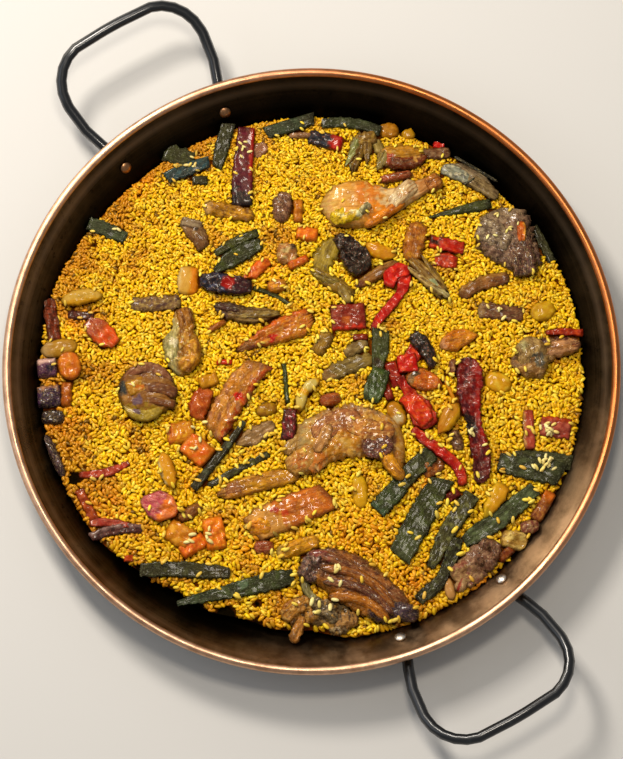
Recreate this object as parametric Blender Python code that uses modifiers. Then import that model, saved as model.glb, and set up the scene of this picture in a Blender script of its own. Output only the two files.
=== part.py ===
"""Paella for a dozen, served in the two-handled steel pan that it was cooked in.

The pan stands on z = 0 with its centre on the Z axis, and its two handles lie along X.
The rice and everything on it hang on one empty, "serving", turned against the handles.
Every length below is in millimetres, and MM turns it into Blender's metres.
"""

import math

import bmesh
import bpy
from mathutils import Matrix, Vector, noise

MM = 0.001

# Pan
RIM_RADIUS = 275.0
PAN_HEIGHT = 52.0
BEAD_RADIUS = 4.0
SHEET = 1.2
BASE_RADIUS = 222.0
CORNER_RADIUS = 12.0
CORNER_STEPS = 2
TURN_STEPS = 48
FACET_SAG = 0.5  # how far the turned wall's flat facets fall inside its true circle
RIVET_STEPS = 8
GAP = 0.3

# Handles and rivets
ROD_RADIUS = 5.0
HANDLE_REACH = 360.0
HANDLE_HALF_SPAN = 52.0
HANDLE_HALF_WIDTH = 69.5
HANDLE_CORNER = 39.0
HANDLE_BOW = 0.7  # how far the grip bows out between its corners
HANDLE_RISE = 28.0
ROD_UP_WALL = 7.0
TAB_LENGTH = 22.0
TAB_WIDTH = 16.0
TAB_THICKNESS = 3.6
RIVET_HEIGHT = 27.0
RIVET_HEAD = 5.2
RIVET_DOME = 6.6
RIVET_SHANK = 2.6

# Food
SERVING_TURN = math.radians(60)
RICE_LEVEL = 21.5
RICE_MOUND = 1.6
RICE_WAVE = 0.8
RICE_RINGS = (0.3, 0.66, 1.0)
BARE_BEARING = math.radians(252)
BARE_SPREAD = math.radians(38)
BARE_DEPTH = 9.0
POCKET_GAP = 0.5
LYING_GAP = 1.0

COLOURS = {  # base colour, roughness, metallic
    "steel": ((0.42, 0.27, 0.16), 0.32, 1.0),
    "rod_steel": ((0.03, 0.035, 0.04), 0.35, 0.7),
    "rivet_steel": ((0.55, 0.42, 0.30), 0.3, 1.0),
    "rice": ((0.83, 0.50, 0.03), 0.5, 0.0),
    "flat_bean": ((0.055, 0.085, 0.04), 0.45, 0.0),
    "butter_bean": ((0.78, 0.50, 0.12), 0.4, 0.0),
    "red_pepper": ((0.60, 0.05, 0.03), 0.35, 0.0),
    "charred_pepper": ((0.03, 0.02, 0.035), 0.35, 0.0),
    "orange_pepper": ((0.80, 0.25, 0.03), 0.4, 0.0),
    "artichoke": ((0.22, 0.15, 0.07), 0.5, 0.0),
    "chicken": ((0.55, 0.30, 0.12), 0.45, 0.0),
    "rabbit": ((0.22, 0.12, 0.09), 0.5, 0.0),
}


# ---- scene helpers ----

def clear_scene():
    for obj in list(bpy.data.objects):
        bpy.data.objects.remove(obj, do_unlink=True)


def new_collection(name):
    collection = bpy.data.collections.new(name)
    bpy.context.scene.collection.children.link(collection)
    return collection


def material(name):
    made = bpy.data.materials.get(name)
    if made is None:
        colour, roughness, metallic = COLOURS[name]
        made = bpy.data.materials.new(name)
        made.use_nodes = True
        shader = made.node_tree.nodes["Principled BSDF"]
        shader.inputs["Base Color"].default_value = (*colour, 1.0)
        shader.inputs["Roughness"].default_value = roughness
        shader.inputs["Metallic"].default_value = metallic
    return made


def add_object(name, data, collection, parent=None):
    obj = bpy.data.objects.new(name, data)
    collection.objects.link(obj)
    obj.parent = parent
    return obj


def add_empty(name, collection, turn=0.0):
    empty = add_object(name, None, collection)
    empty.rotation_euler.z = turn
    return empty


def mesh_from(bm, name, finish, smooth_angle=math.radians(40)):
    mesh = bpy.data.meshes.new(name)
    bm.to_mesh(mesh)
    bm.free()
    mesh.shade_smooth()
    mesh.set_sharp_from_angle(angle=smooth_angle)
    mesh.materials.append(material(finish))
    return mesh


def hide_as_cutter(obj):
    obj.hide_render = True
    obj.display_type = "WIRE"


def cut(target, cutter):
    modifier = target.modifiers.new("cut_" + cutter.name, "BOOLEAN")
    modifier.operation = "DIFFERENCE"
    modifier.object = cutter


def turned(name, profile, finish, collection, steps=TURN_STEPS):
    """A profile of (radius, height) points in mm, spun about Z. It runs down its outer side."""
    mesh = bpy.data.meshes.new(name)
    points = [(r * MM, 0.0, z * MM) for r, z in profile]
    mesh.from_pydata(points, [(i, i + 1) for i in range(len(points) - 1)], [])
    mesh.materials.append(material(finish))
    obj = add_object(name, mesh, collection)
    screw = obj.modifiers.new("turn", "SCREW")
    screw.steps = screw.render_steps = steps
    screw.use_merge_vertices = True
    screw.merge_threshold = 0.00005
    screw.use_smooth_shade = True
    return obj


def arc(centre, radius, start, end, steps):
    """Points of (x, y) on an arc, its angles in degrees."""
    angles = [math.radians(start + (end - start) * i / steps) for i in range(steps + 1)]
    return [(centre[0] + radius * math.cos(a), centre[1] + radius * math.sin(a)) for a in angles]


# ---- pan ----

WALL_FOOT = (BASE_RADIUS + CORNER_RADIUS * math.sin(math.radians(45)),
             CORNER_RADIUS * (1 - math.cos(math.radians(45))))
BEAD_CENTRE = (RIM_RADIUS - BEAD_RADIUS, PAN_HEIGHT - BEAD_RADIUS)
BEAD_END = math.radians(-110)
WALL_TOP = (BEAD_CENTRE[0] + BEAD_RADIUS * math.cos(BEAD_END), BEAD_CENTRE[1] + BEAD_RADIUS * math.sin(BEAD_END))
WALL_SLOPE = math.atan2(WALL_TOP[1] - WALL_FOOT[1], WALL_TOP[0] - WALL_FOOT[0])


def wall_radius(height, inset=0.0):
    """Radius of the wall's outer face at a height, moved inwards by inset, square to the wall."""
    run = (height - WALL_FOOT[1]) / math.tan(WALL_SLOPE)
    return WALL_FOOT[0] + run - inset / math.sin(WALL_SLOPE)


def pan_profile():
    """Inner floor, inner wall, rolled bead, outer wall, underside."""
    inner_corner = CORNER_RADIUS - SHEET
    corner_centre = (BASE_RADIUS, CORNER_RADIUS)
    inside = arc(corner_centre, inner_corner, -90, -45, CORNER_STEPS)
    outside = arc(corner_centre, CORNER_RADIUS, -45, -90, CORNER_STEPS)
    shoulder = (wall_radius(WALL_TOP[1], SHEET), WALL_TOP[1])
    bead = arc(BEAD_CENTRE, BEAD_RADIUS, 170, math.degrees(BEAD_END), 6)
    return [(0, SHEET), *inside, shoulder, *bead, *outside, (0, 0)]


def make_pan(collection):
    return turned("pan", pan_profile(), "steel", collection)


# ---- handles ----

def handle_outline():
    """Half of the rod's route in plan, from the rivet to the middle of the grip: (reach, offset)."""
    corner = (HANDLE_REACH - HANDLE_BOW - HANDLE_CORNER, HANDLE_HALF_WIDTH - HANDLE_CORNER)
    start = (wall_radius(RIVET_HEIGHT) * math.cos(rivet_bearing()) + rod_start()[0], HANDLE_HALF_SPAN)
    flank = (corner[0] - 4.0, HANDLE_HALF_WIDTH)
    rise = [(start[0] + (flank[0] - start[0]) * f,
             start[1] + (flank[1] - start[1]) * math.sin(0.5 * math.pi * f)) for f in (0, 0.3, 0.6)]
    bend = arc(corner, HANDLE_CORNER, 90, 12, 5)
    front = (HANDLE_REACH - 0.1 * HANDLE_BOW, 0.12 * HANDLE_HALF_WIDTH)
    return [*rise, flank, *bend, front, (HANDLE_REACH, 0.0)]


def rivet_bearing():
    return math.asin(HANDLE_HALF_SPAN / wall_radius(RIVET_HEIGHT))


def rod_start():
    """Where the rod's middle leaves its pad, outwards and upwards from the rivet's place on the wall."""
    off_wall = ROD_RADIUS + GAP
    return (ROD_UP_WALL * math.cos(WALL_SLOPE) + off_wall * math.sin(WALL_SLOPE),
            ROD_UP_WALL * math.sin(WALL_SLOPE) - off_wall * math.cos(WALL_SLOPE))


def rod_height(reach, start_reach):
    """The rod leaves the wall nearly level, passes under the bead and then climbs to the grip."""
    along = (reach - start_reach) / (HANDLE_REACH - start_reach)
    return RIVET_HEIGHT + rod_start()[1] + HANDLE_RISE * (0.25 * along + 0.75 * along ** 1.6)


def rod_mesh():
    half = handle_outline()
    route = half + [(reach, -offset) for reach, offset in reversed(half[:-1])]
    curve = bpy.data.curves.new("rod", "CURVE")
    curve.dimensions = "3D"
    curve.bevel_depth = ROD_RADIUS * MM
    curve.bevel_resolution = 2
    curve.use_fill_caps = True
    spline = curve.splines.new("POLY")
    spline.points.add(len(route) - 1)
    start_reach = route[0][0]
    for point, (reach, offset) in zip(spline.points, route):
        point.co = (reach * MM, offset * MM, rod_height(reach, start_reach) * MM, 1.0)
    obj = bpy.data.objects.new("rod_route", curve)
    bpy.context.scene.collection.objects.link(obj)
    graph = bpy.context.evaluated_depsgraph_get()
    mesh = bpy.data.meshes.new_from_object(obj.evaluated_get(graph))
    bpy.data.objects.remove(obj)
    bm = bmesh.new()
    bm.from_mesh(mesh)
    bpy.data.meshes.remove(mesh)
    bmesh.ops.remove_doubles(bm, verts=bm.verts, dist=0.00001)
    return bm


def on_wall(side, depth):
    """A frame on the wall at a rivet: Z square to the wall and outwards, its origin depth mm outside the wall."""
    bearing = side * rivet_bearing()
    outward = Vector((math.sin(WALL_SLOPE), 0, -math.cos(WALL_SLOPE)))
    turn = Matrix.Rotation(bearing, 4, "Z")
    spot = Vector((wall_radius(RIVET_HEIGHT), 0, RIVET_HEIGHT)) + outward * depth
    tilt = outward.to_track_quat("Z", "X").to_matrix().to_4x4()
    return turn @ Matrix.Translation(spot * MM) @ tilt


def tab(side, collection):
    """The rod's end, beaten flat against the wall: an oval pad with rounded edges."""
    bm = bmesh.new()
    bmesh.ops.create_cone(bm, cap_ends=True, segments=12, radius1=0.5 * TAB_WIDTH * MM,
                          radius2=0.42 * TAB_WIDTH * MM, depth=TAB_THICKNESS * MM)
    bmesh.ops.scale(bm, vec=(TAB_LENGTH / TAB_WIDTH, 1, 1), verts=bm.verts)
    obj = add_object("tab_%d" % side, mesh_from(bm, "tab", "rod_steel"), collection)
    obj.matrix_world = on_wall(side, GAP + 0.5 * TAB_THICKNESS)
    hide_as_cutter(obj)
    return obj


def make_handles(collection, helpers):
    bm = rod_mesh()
    rod = mesh_from(bm, "rod", "rod_steel")
    for name, turn in (("handle_right", 0.0), ("handle_left", math.pi)):
        mount = add_empty(name + "_mount", collection, turn)
        handle = add_object(name, rod, collection, mount)
        for side in (1, -1):
            pad = tab(side, helpers)
            pad.parent = mount
            join = handle.modifiers.new("pad_%d" % side, "BOOLEAN")
            join.operation = "UNION"
            join.object = pad
    return [bpy.data.objects["handle_right"], bpy.data.objects["handle_left"]]


# ---- rivets ----

RIVET_BACK = 2 * GAP + TAB_THICKNESS
RIVET_FRONT = -SHEET - GAP - FACET_SAG


def rivet_profile():
    """Flat outer head, shank through pad and wall, and a dome inside, along the axis out of the wall."""
    head = [(0, RIVET_BACK + 1.8), (0.8 * RIVET_HEAD, RIVET_BACK + 1.5), (0.9 * RIVET_HEAD, RIVET_BACK)]
    dome = [(RIVET_DOME * math.sin(a), RIVET_FRONT - 3.2 * math.cos(a)) for a in (0.5 * math.pi, 1.0, 0.5, 0.0)]
    return [*head, (RIVET_SHANK, RIVET_BACK), (RIVET_SHANK, RIVET_FRONT), *dome]


def drill_profile():
    """Room for the outer head over the pad, and a hole for the shank."""
    drill, room, face = RIVET_SHANK + GAP, RIVET_HEAD + GAP, RIVET_BACK - 0.5 * GAP
    return [(0, face + 4), (room, face + 4), (room, face), (drill, face), (drill, RIVET_FRONT - 5), (0, RIVET_FRONT - 5)]


def make_rivets(collection, helpers, pan, handles):
    for handle, turn in zip(handles, (0.0, math.pi)):
        for side in (1, -1):
            name = "rivet_%s_%s" % (handle.name.split("_")[1], "a" if side > 0 else "b")
            place = Matrix.Rotation(turn, 4, "Z") @ on_wall(side, 0.0)
            rivet = turned(name, rivet_profile(), "rivet_steel", collection, RIVET_STEPS)
            drill = turned("drill_" + name, drill_profile(), "rivet_steel", helpers, RIVET_STEPS)
            rivet.matrix_world = drill.matrix_world = place
            hide_as_cutter(drill)
            cut(pan, drill)
            cut(handle, drill)


# ---- toppings: each is a ball drawn out along a line, with its own width and depth along the way ----

def signed_power(value, power):
    return math.copysign(abs(value) ** power, value)


def line_through(points):
    """A smooth line through plan points: f in 0..1 to (point, direction)."""
    knots = [Vector(p) for p in points]
    first, last = 2 * knots[0] - knots[1], 2 * knots[-1] - knots[-2]
    padded = [first, *knots, last]

    def at(f):
        f = min(max(f, 0.0), 1.0)
        span = min(int(f * (len(knots) - 1)), len(knots) - 2)
        t = f * (len(knots) - 1) - span
        a, b, c, d = padded[span:span + 4]
        place = 0.5 * (2 * b + (c - a) * t + (2 * a - 5 * b + 4 * c - d) * t * t + (3 * b - a - 3 * c + d) * t ** 3)
        slope = 0.5 * ((c - a) + 2 * (2 * a - 5 * b + 4 * c - d) * t + 3 * (3 * b - a - 3 * c + d) * t * t)
        return place, slope.normalized()

    return at


def bowed_line(length, bow):
    """A line of that length along X, its middle pushed aside by bow."""
    return line_through([(-0.5 * length, 0), (-0.2 * length, 0.8 * bow), (0.2 * length, 0.8 * bow), (0.5 * length, 0)])


PLAIN = {"blunt": 0.5, "square": 1.0, "taper": 0.0, "lumps": 0.0, "sides": 6, "rings": 6, "waist": None}


def drawn_ball(line, width, depth, form, seed, grow):
    """The bmesh of one topping, in mm about its own origin."""
    shape = {**PLAIN, **form}
    bm = bmesh.new()
    bmesh.ops.create_uvsphere(bm, u_segments=shape["sides"], v_segments=shape["rings"], radius=1.0)
    bmesh.ops.triangulate(bm, faces=bm.faces)
    for vert in bm.verts:
        along, around = vert.co.z, math.atan2(vert.co.y, vert.co.x)
        ring = math.sqrt(max(0.0, 1 - along * along)) ** shape["blunt"]
        reach = signed_power(along, 0.5 + 0.5 * shape["blunt"])
        swell = 1 + shape["taper"] * reach
        if shape["waist"]:
            swell = shape["waist"](reach)
        lump = 1 + shape["lumps"] * noise.noise(Vector((vert.co.x * 1.3 + seed * 7.1, vert.co.y * 1.3, along * 1.9)))
        across = signed_power(math.cos(around), shape["square"]) * ring
        up = signed_power(math.sin(around), shape["square"]) * ring
        place, direction = line(0.5 + 0.5 * reach)
        sideways = Vector((-direction.y, direction.x))
        spot = place + sideways * across * (0.5 * width * swell * lump + grow) + direction * (reach * grow)
        vert.co = Vector((spot.x, spot.y, up * (0.5 * depth * math.sqrt(swell) * lump + grow))) * MM
    return bm


def rice_height(x, y):
    """Top of the rice in mm: a low mound with soft waves."""
    reach = math.hypot(x, y) / wall_radius(RICE_LEVEL)
    wave = noise.noise(Vector((x / 55.0, y / 55.0, 2.5)))
    return RICE_LEVEL + RICE_MOUND * (1 - reach * reach) + RICE_WAVE * wave


class Serving:
    """The toppings in the order they were laid down. A later one lies on an earlier one."""

    def __init__(self, collection, helpers, empty):
        self.collection, self.helpers, self.empty = collection, helpers, empty
        self.laid = []

    def lay(self, name, finish, place, line, width, depth, form, lift=None):
        """With a lift, the topping's middle is that far above the rice, half sunk. Without one it lies on top."""
        x, y, heading = place
        seed = len(self.laid) + 1
        sunk = lift is not None
        level = lift if sunk else 0.5 * depth + LYING_GAP
        location = Vector((x, y, rice_height(x, y) + level)) * MM
        made = []
        for prefix, grow, where in (("", 0.0, self.collection), ("pocket_", POCKET_GAP, self.helpers)):
            mesh = mesh_from(drawn_ball(line, width, depth, form, seed, grow), name, finish, math.radians(75))
            obj = add_object(prefix + name, mesh, where, self.empty)
            obj.location, obj.rotation_euler.z = location, math.radians(heading)
            made.append(obj)
        hide_as_cutter(made[1])
        self.laid.append((*made, sunk))

    def lay_along(self, name, finish, points, width, depth, form, lift=None):
        middle = [sum(c) / len(points) for c in zip(*points)]
        local = [(x - middle[0], y - middle[1]) for x, y in points]
        self.lay(name, finish, (*middle, 0), line_through(local), width, depth, form, lift)

    def bed_into(self, rice):
        """Cuts each topping's pocket out of the rice and out of the earlier toppings that it touches."""
        bpy.context.view_layer.update()
        boxes = [world_box(pocket) for _, pocket, _ in self.laid]
        for upper, (_, pocket, sunk) in enumerate(self.laid):
            if sunk:
                cut(rice, pocket)
            for lower in range(upper):
                if boxes_meet(boxes[lower], boxes[upper]):
                    cut(self.laid[lower][0], pocket)


def world_box(obj):
    corners = [obj.matrix_world @ Vector(c) for c in obj.bound_box]
    return [min(c[i] for c in corners) for i in range(3)], [max(c[i] for c in corners) for i in range(3)]


def boxes_meet(one, other):
    return all(one[0][i] < other[1][i] and other[0][i] < one[1][i] for i in range(3))


# name, (x, y, heading), length, width, bow
FLAT_BEANS = [
    ("flat_bean_01", (-112, 186, 20), 42, 14, 1), ("flat_bean_02", (-80, 209, 78), 42, 15, 1),
    ("flat_bean_03", (-20, 229, 17), 46, 13, -2), ("flat_bean_04", (36, 227, -8), 54, 10, 2),
    ("flat_bean_05", (-66, 105, 30), 50, 18, 2), ("flat_bean_06", (60, 6, 79), 66, 15, 3),
    ("flat_bean_07", (-82, -76, 53), 76, 9, 0), ("flat_bean_08", (-112, -180, -2), 80, 16, 2),
    ("flat_bean_09", (-68, -193, 12), 106, 17, -3), ("flat_bean_10", (85, -96, 46), 64, 20, 0),
    ("flat_bean_11", (97, -132, 62), 80, 26, 0), ("flat_bean_12", (125, -144, 60), 76, 17, 3),
    ("flat_bean_13", (167, -129, 37), 80, 19, -2), ("flat_bean_14", (117, -181, 58), 66, 13, 4),
    ("flat_bean_15", (195, -87, -12), 58, 25, 0),
]

# name, (x, y, heading), length, width, bow
BUTTER_BEANS = [
    ("butter_bean_01", (-206, 66, 6), 38, 18, 2), ("butter_bean_02", (-1, -22, 58), 35, 13, 4),
    ("butter_bean_03", (120, -42, 62), 34, 19, -2), ("butter_bean_04", (-130, -90, -76), 34, 17, 2),
    ("butter_bean_05", (162, -117, 62), 36, 20, 0),
]

# name, finish, plan points along the strip, width
PEPPER_STRIPS = [
    ("pepper_strip_01", "red_pepper", [(-56, 226), (-60, 205), (-62, 182), (-62, 153)], 17),
    ("pepper_strip_02", "red_pepper", [(71, 90), (83, 92), (86, 80), (76, 65), (64, 51), (52, 39)], 8.5),
    ("pepper_strip_03", "red_pepper", [(90, -53), (106, -63), (122, -74), (132, -88), (134, -103)], 9.5),
    ("pepper_strip_04", "red_pepper", [(143, 13), (143, -10), (145, -38), (149, -66), (152, -84), (150, -101)], 20),
]

# name, finish, (x, y, heading), length, width, depth, taper
PEPPER_PIECES = [
    ("pepper_piece_01", "charred_pepper", (-77, 79, -5), 48, 20, 7, 0.0),
    ("pepper_piece_02", "red_pepper", (33, 49, 0), 31, 25, 6, 0.0),
    ("pepper_piece_03", "orange_pepper", (91, -28, -62), 54, 23, 6, -0.2),
    ("pepper_piece_04", "red_pepper", (-189, 35, -38), 34, 20, 6, 0.1),
    ("pepper_piece_05", "orange_pepper", (-135, -122, -28), 34, 27, 9, 0.0),
    ("pepper_piece_06", "charred_pepper", (36, 109, -56), 42, 24, 8, 0.35),
    ("pepper_piece_07", "charred_pepper", (100, 19, -60), 36, 14, 7, 0.2),
    ("pepper_piece_08", "orange_pepper", (-217, 5, -80), 26, 19, 10, 0.0),
]

# name, (x, y, heading), length, width, depth, taper, bow
ARTICHOKES = [
    ("artichoke_01", (45, 203, 76), 38, 20, 12, 0.25, 2), ("artichoke_02", (81, 200, -2), 44, 26, 15, 0.1, -2),
    ("artichoke_03", (58, 90, 27), 44, 13, 9, 0.1, 0), ("artichoke_04", (19, 82, -36), 46, 17, 9, 0.15, 0),
    ("artichoke_05", (103, 86, -46), 52, 17, 10, 0.2, 2), ("artichoke_06", (-59, 58, -6), 58, 20, 11, 0.1, -4),
    ("artichoke_07", (144, 178, -27), 48, 15, 10, 0.1, 2), ("artichoke_08", (-104, 127, -55), 30, 20, 8, 0.2, 0),
]

# name, finish, plan points along the middle, width, depth, taper, lumps
MEATS = [
    ("chicken_01", "chicken", [(-108, 56), (-117, 30), (-109, -4)], 35, 20, 0.0, 0.22),
    ("chicken_02", "chicken", [(-47, 9), (-66, -18), (-89, -56)], 28, 15, 0.0, 0.10),
    ("chicken_03", "chicken", [(-66, 16), (-34, 35), (2, 50)], 23, 13, 0.1, 0.12),
    ("chicken_04", "chicken", [(-5, -96), (4, -62), (36, -47), (64, -60), (72, -92)], 35, 22, 0.1, 0.12),
    ("chicken_05", "chicken", [(-54, -145), (-18, -126), (18, -114)], 30, 14, 0.1, 0.12),
    ("chicken_06", "chicken", [(-26, -211), (5, -218), (38, -223)], 29, 15, 0.0, 0.30),
    ("chicken_07", "chicken", [(178, 9), (203, 13), (236, 19)], 34, 20, -0.25, 0.12),
    ("rabbit_01", "rabbit", [(167, 150), (175, 121), (188, 89)], 51, 20, 0.0, 0.16),
    ("rabbit_02", "rabbit", [(-4, -166), (36, -189), (86, -219)], 46, 24, -0.15, 0.14),
    ("rabbit_03", "rabbit", [(135, -193), (147, -172), (159, -156)], 27, 15, 0.1, 0.20),
]
BROAD_MEAT = 32
DRUMSTICK = [(13, 156), (45, 158), (79, 167), (113, 180)]


def lay_toppings(serving):
    heart = {"sides": 10, "rings": 8, "blunt": 0.8, "lumps": 0.12}
    serving.lay("artichoke_heart", "artichoke", (-147, -17, 8), bowed_line(52, 0), 50, 24, heart, lift=1)
    for name, place, length, width, depth, taper, bow in ARTICHOKES:
        form = {"blunt": 0.75, "taper": taper, "lumps": 0.15}
        serving.lay(name, "artichoke", place, bowed_line(length, bow), width, depth, form, lift=1.5)
    for name, finish, points, width, depth, taper, lumps in MEATS:
        sides = 10 if width > BROAD_MEAT else 8
        rings = 2 * len(points)
        form = {"sides": sides, "rings": rings, "blunt": 0.6, "square": 0.85, "taper": taper, "lumps": lumps}
        serving.lay_along(name, finish, points, width, depth, form, lift=0.12 * depth)
    for name, place, length, width, bow in BUTTER_BEANS:
        serving.lay(name, "butter_bean", place, bowed_line(length, bow), width, 9, {"blunt": 0.9})
    for name, finish, place, length, width, depth, taper in PEPPER_PIECES:
        form = {"blunt": 0.35, "square": 0.6, "taper": taper, "lumps": 0.1}
        serving.lay(name, finish, place, bowed_line(length, 1), width, depth, form)
    for name, place, length, width, bow in FLAT_BEANS:
        form = {"blunt": 0.3, "lumps": 0.08}
        serving.lay(name, "flat_bean", place, bowed_line(length, bow), width, 5, form)
    for name, finish, points, width in PEPPER_STRIPS:
        serving.lay_along(name, finish, points, width, 5, {"blunt": 0.4, "lumps": 0.12, "rings": 9})
    form = {"sides": 8, "rings": 11, "blunt": 0.75, "lumps": 0.06, "waist": drumstick_waist}
    serving.lay_along("drumstick", "chicken", DRUMSTICK, 44, 30, form, lift=2)


def drumstick_waist(reach):
    """Plump meat at the near end, a thin bone, and the knuckle at the far end."""
    meat = math.exp(-((reach + 0.55) / 0.62) ** 4)
    knuckle = 0.42 * math.exp(-((reach - 0.88) / 0.16) ** 2)
    return 0.33 + 0.70 * meat + 0.35 * knuckle


# ---- rice ----

def rice_edge(bearing):
    """How far the rice falls short of the wall at a bearing, in mm."""
    away = (bearing - BARE_BEARING + math.pi) % (2 * math.pi) - math.pi
    ripple = 0.75 + 0.25 * math.sin(bearing * 23)
    return BARE_DEPTH * math.exp(-(away / BARE_SPREAD) ** 2) * ripple


def make_rice(collection, empty):
    """A bed that fills the pan, with a low mound on top and an edge that falls short of the wall in front."""
    floor = SHEET + GAP
    corner = arc((BASE_RADIUS, CORNER_RADIUS), CORNER_RADIUS - SHEET - GAP, -90, -45, CORNER_STEPS)
    edge = wall_radius(RICE_LEVEL, SHEET + GAP)
    profile = [(edge * f, RICE_LEVEL) for f in reversed(RICE_RINGS)][::-1]
    profile = [(0, floor), *corner, *reversed(profile), (0, RICE_LEVEL)]
    bm = bmesh.new()
    verts = [bm.verts.new((r, 0, z)) for r, z in profile]
    edges = [bm.edges.new(pair) for pair in zip(verts, verts[1:])]
    bmesh.ops.spin(bm, geom=verts + edges, cent=(0, 0, 0), axis=(0, 0, 1), angle=2 * math.pi,
                   steps=TURN_STEPS, use_duplicate=False)
    bmesh.ops.remove_doubles(bm, verts=bm.verts, dist=0.01)
    bmesh.ops.rotate(bm, verts=bm.verts, cent=(0, 0, 0), matrix=Matrix.Rotation(-SERVING_TURN, 3, "Z"))
    for vert in bm.verts:
        reach = math.hypot(vert.co.x, vert.co.y)
        if vert.co.z > RICE_LEVEL - 1 and reach > 0.9 * edge:
            keep = 1 - rice_edge(math.atan2(vert.co.y, vert.co.x)) / edge
            vert.co.x *= keep
            vert.co.y *= keep
        elif vert.co.z > RICE_LEVEL - 1:
            vert.co.z = rice_height(vert.co.x, vert.co.y)
        vert.co *= MM
    bmesh.ops.triangulate(bm, faces=bm.faces)
    bmesh.ops.recalc_face_normals(bm, faces=bm.faces)
    return add_object("rice", mesh_from(bm, "rice", "rice"), collection, empty)


def main():
    clear_scene()
    paella = new_collection("paella")
    helpers = new_collection("cutters")
    pan = make_pan(paella)
    handles = make_handles(paella, helpers)
    make_rivets(paella, helpers, pan, handles)
    empty = add_empty("serving", paella, SERVING_TURN)
    rice = make_rice(paella, empty)
    serving = Serving(paella, helpers, empty)
    lay_toppings(serving)
    serving.bed_into(rice)


main()
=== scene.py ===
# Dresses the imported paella: the steel pan, the rice grain by grain, and every topping on it.
import math

import bpy
import numpy as np
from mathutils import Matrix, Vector
from mathutils.bvhtree import BVHTree


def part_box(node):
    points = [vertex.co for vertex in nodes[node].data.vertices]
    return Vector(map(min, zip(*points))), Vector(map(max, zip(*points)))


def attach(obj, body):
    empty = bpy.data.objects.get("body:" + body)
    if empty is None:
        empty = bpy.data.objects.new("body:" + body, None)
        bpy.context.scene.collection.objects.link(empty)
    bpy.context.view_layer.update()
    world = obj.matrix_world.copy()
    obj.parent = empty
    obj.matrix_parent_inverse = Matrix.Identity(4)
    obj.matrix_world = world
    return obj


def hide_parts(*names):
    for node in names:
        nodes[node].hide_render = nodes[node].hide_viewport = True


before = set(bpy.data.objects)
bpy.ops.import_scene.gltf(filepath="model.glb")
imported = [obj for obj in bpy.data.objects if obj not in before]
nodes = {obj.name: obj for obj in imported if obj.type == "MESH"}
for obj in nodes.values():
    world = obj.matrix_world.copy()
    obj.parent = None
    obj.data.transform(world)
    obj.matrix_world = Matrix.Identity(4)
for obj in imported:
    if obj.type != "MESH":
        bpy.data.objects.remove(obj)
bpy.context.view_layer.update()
mm = 0.001
servingTurn = math.radians(60)  # the food was dished up at this turn from the handles


def say(words):
    print("paella:", words)


def deselectAll():
    if bpy.context.object and bpy.context.object.mode != "OBJECT":
        bpy.ops.object.mode_set(mode="OBJECT")
    bpy.ops.object.select_all(action="DESELECT")


def selectOnly(made):
    deselectAll()
    made.select_set(True)
    bpy.context.view_layer.objects.active = made


def named(name):
    made = bpy.context.object
    made.name = made.data.name = name
    return made


def coordinates(mesh):
    flat = np.empty(len(mesh.vertices) * 3)
    mesh.vertices.foreach_get("co", flat)
    return flat.reshape(-1, 3)


def reshape(mesh, points):
    mesh.vertices.foreach_set("co", points.astype(np.float32).ravel())
    mesh.update()


def linear(tone):
    # A colour as it is picked on screen, such as "c89a2b", to the numbers that a shader takes
    channels = [int(tone[i:i + 2], 16) / 255 for i in (0, 2, 4)]
    return np.array([c / 12.92 if c <= 0.04045 else ((c + 0.055) / 1.055) ** 2.4 for c in channels])


def smooth(values, low, high):
    t = np.clip((values - low) / (high - low), 0, 1)
    return t * t * (3 - 2 * t)


def ripple(points, size, seed, waves=8, evenOut=3.2):
    # Soft noise, about -1 to 1, whose bumps are roughly size apart
    rng = np.random.default_rng(seed)
    total = np.zeros(len(points))
    for _ in range(waves):
        way = rng.normal(size=points.shape[1])
        pitch = 2 * math.pi / size * rng.uniform(0.5, 1.5) / np.linalg.norm(way)
        total += np.sin(points @ way * pitch + rng.uniform(0, 2 * math.pi))
    return total / evenOut


view = {"tilt": 11.0, "distance": 3.20, "aimLow": 0.0122, "heightSeen": 0.6730, "sensor": 24.0}


def makeCamera():
    up = Vector((math.cos(math.pi / 2 + servingTurn), math.sin(math.pi / 2 + servingTurn), 0))
    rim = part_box("pan")[1].z
    aim = Vector((0, 0, rim)) - up * view["aimLow"]
    tilt = math.radians(view["tilt"])
    back = Vector((0, 0, math.cos(tilt))) - up * math.sin(tilt)
    bpy.ops.object.camera_add(location=aim + back * view["distance"])
    camera = named("camera")
    camera.rotation_euler = back.to_track_quat("Z", "Y").to_euler()
    camera.data.sensor_fit = "VERTICAL"
    camera.data.sensor_height = view["sensor"]
    camera.data.lens = view["sensor"] / 2 / (view["heightSeen"] / 2 / view["distance"])
    bpy.context.scene.camera = camera
    bpy.context.view_layer.update()
    roll = camera.matrix_world.to_3x3() @ Vector((0, 1, 0))
    across = camera.matrix_world.to_3x3() @ Vector((1, 0, 0))
    camera.rotation_euler.rotate_axis("Z", math.atan2(-up.dot(across), up.dot(roll)))
    return up


servingUp = makeCamera()

studio = {"world": 0.30, "floor": "cccac6", "floorSize": 8.0, "floorRough": 0.8, "floorDrop": 0.0005}
lamps = {  # degrees round from the serving's upper side, distance out, height, size, power, colour
    "keyLight": (34.0, 1.25, 1.5, 0.45, 34.0, "fff6ea"),
    "topLight": (0.0, 0.25, 2.0, 0.3, 12.0, "fff4e4"),
    "fillLight": (90.0, 1.6, 1.0, 1.2, 5.0, "eaf2ff"),
    "wallGlow": (45.0, 2.0, 0.42, 0.7, 7.0, "fff2dc"),
}


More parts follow.
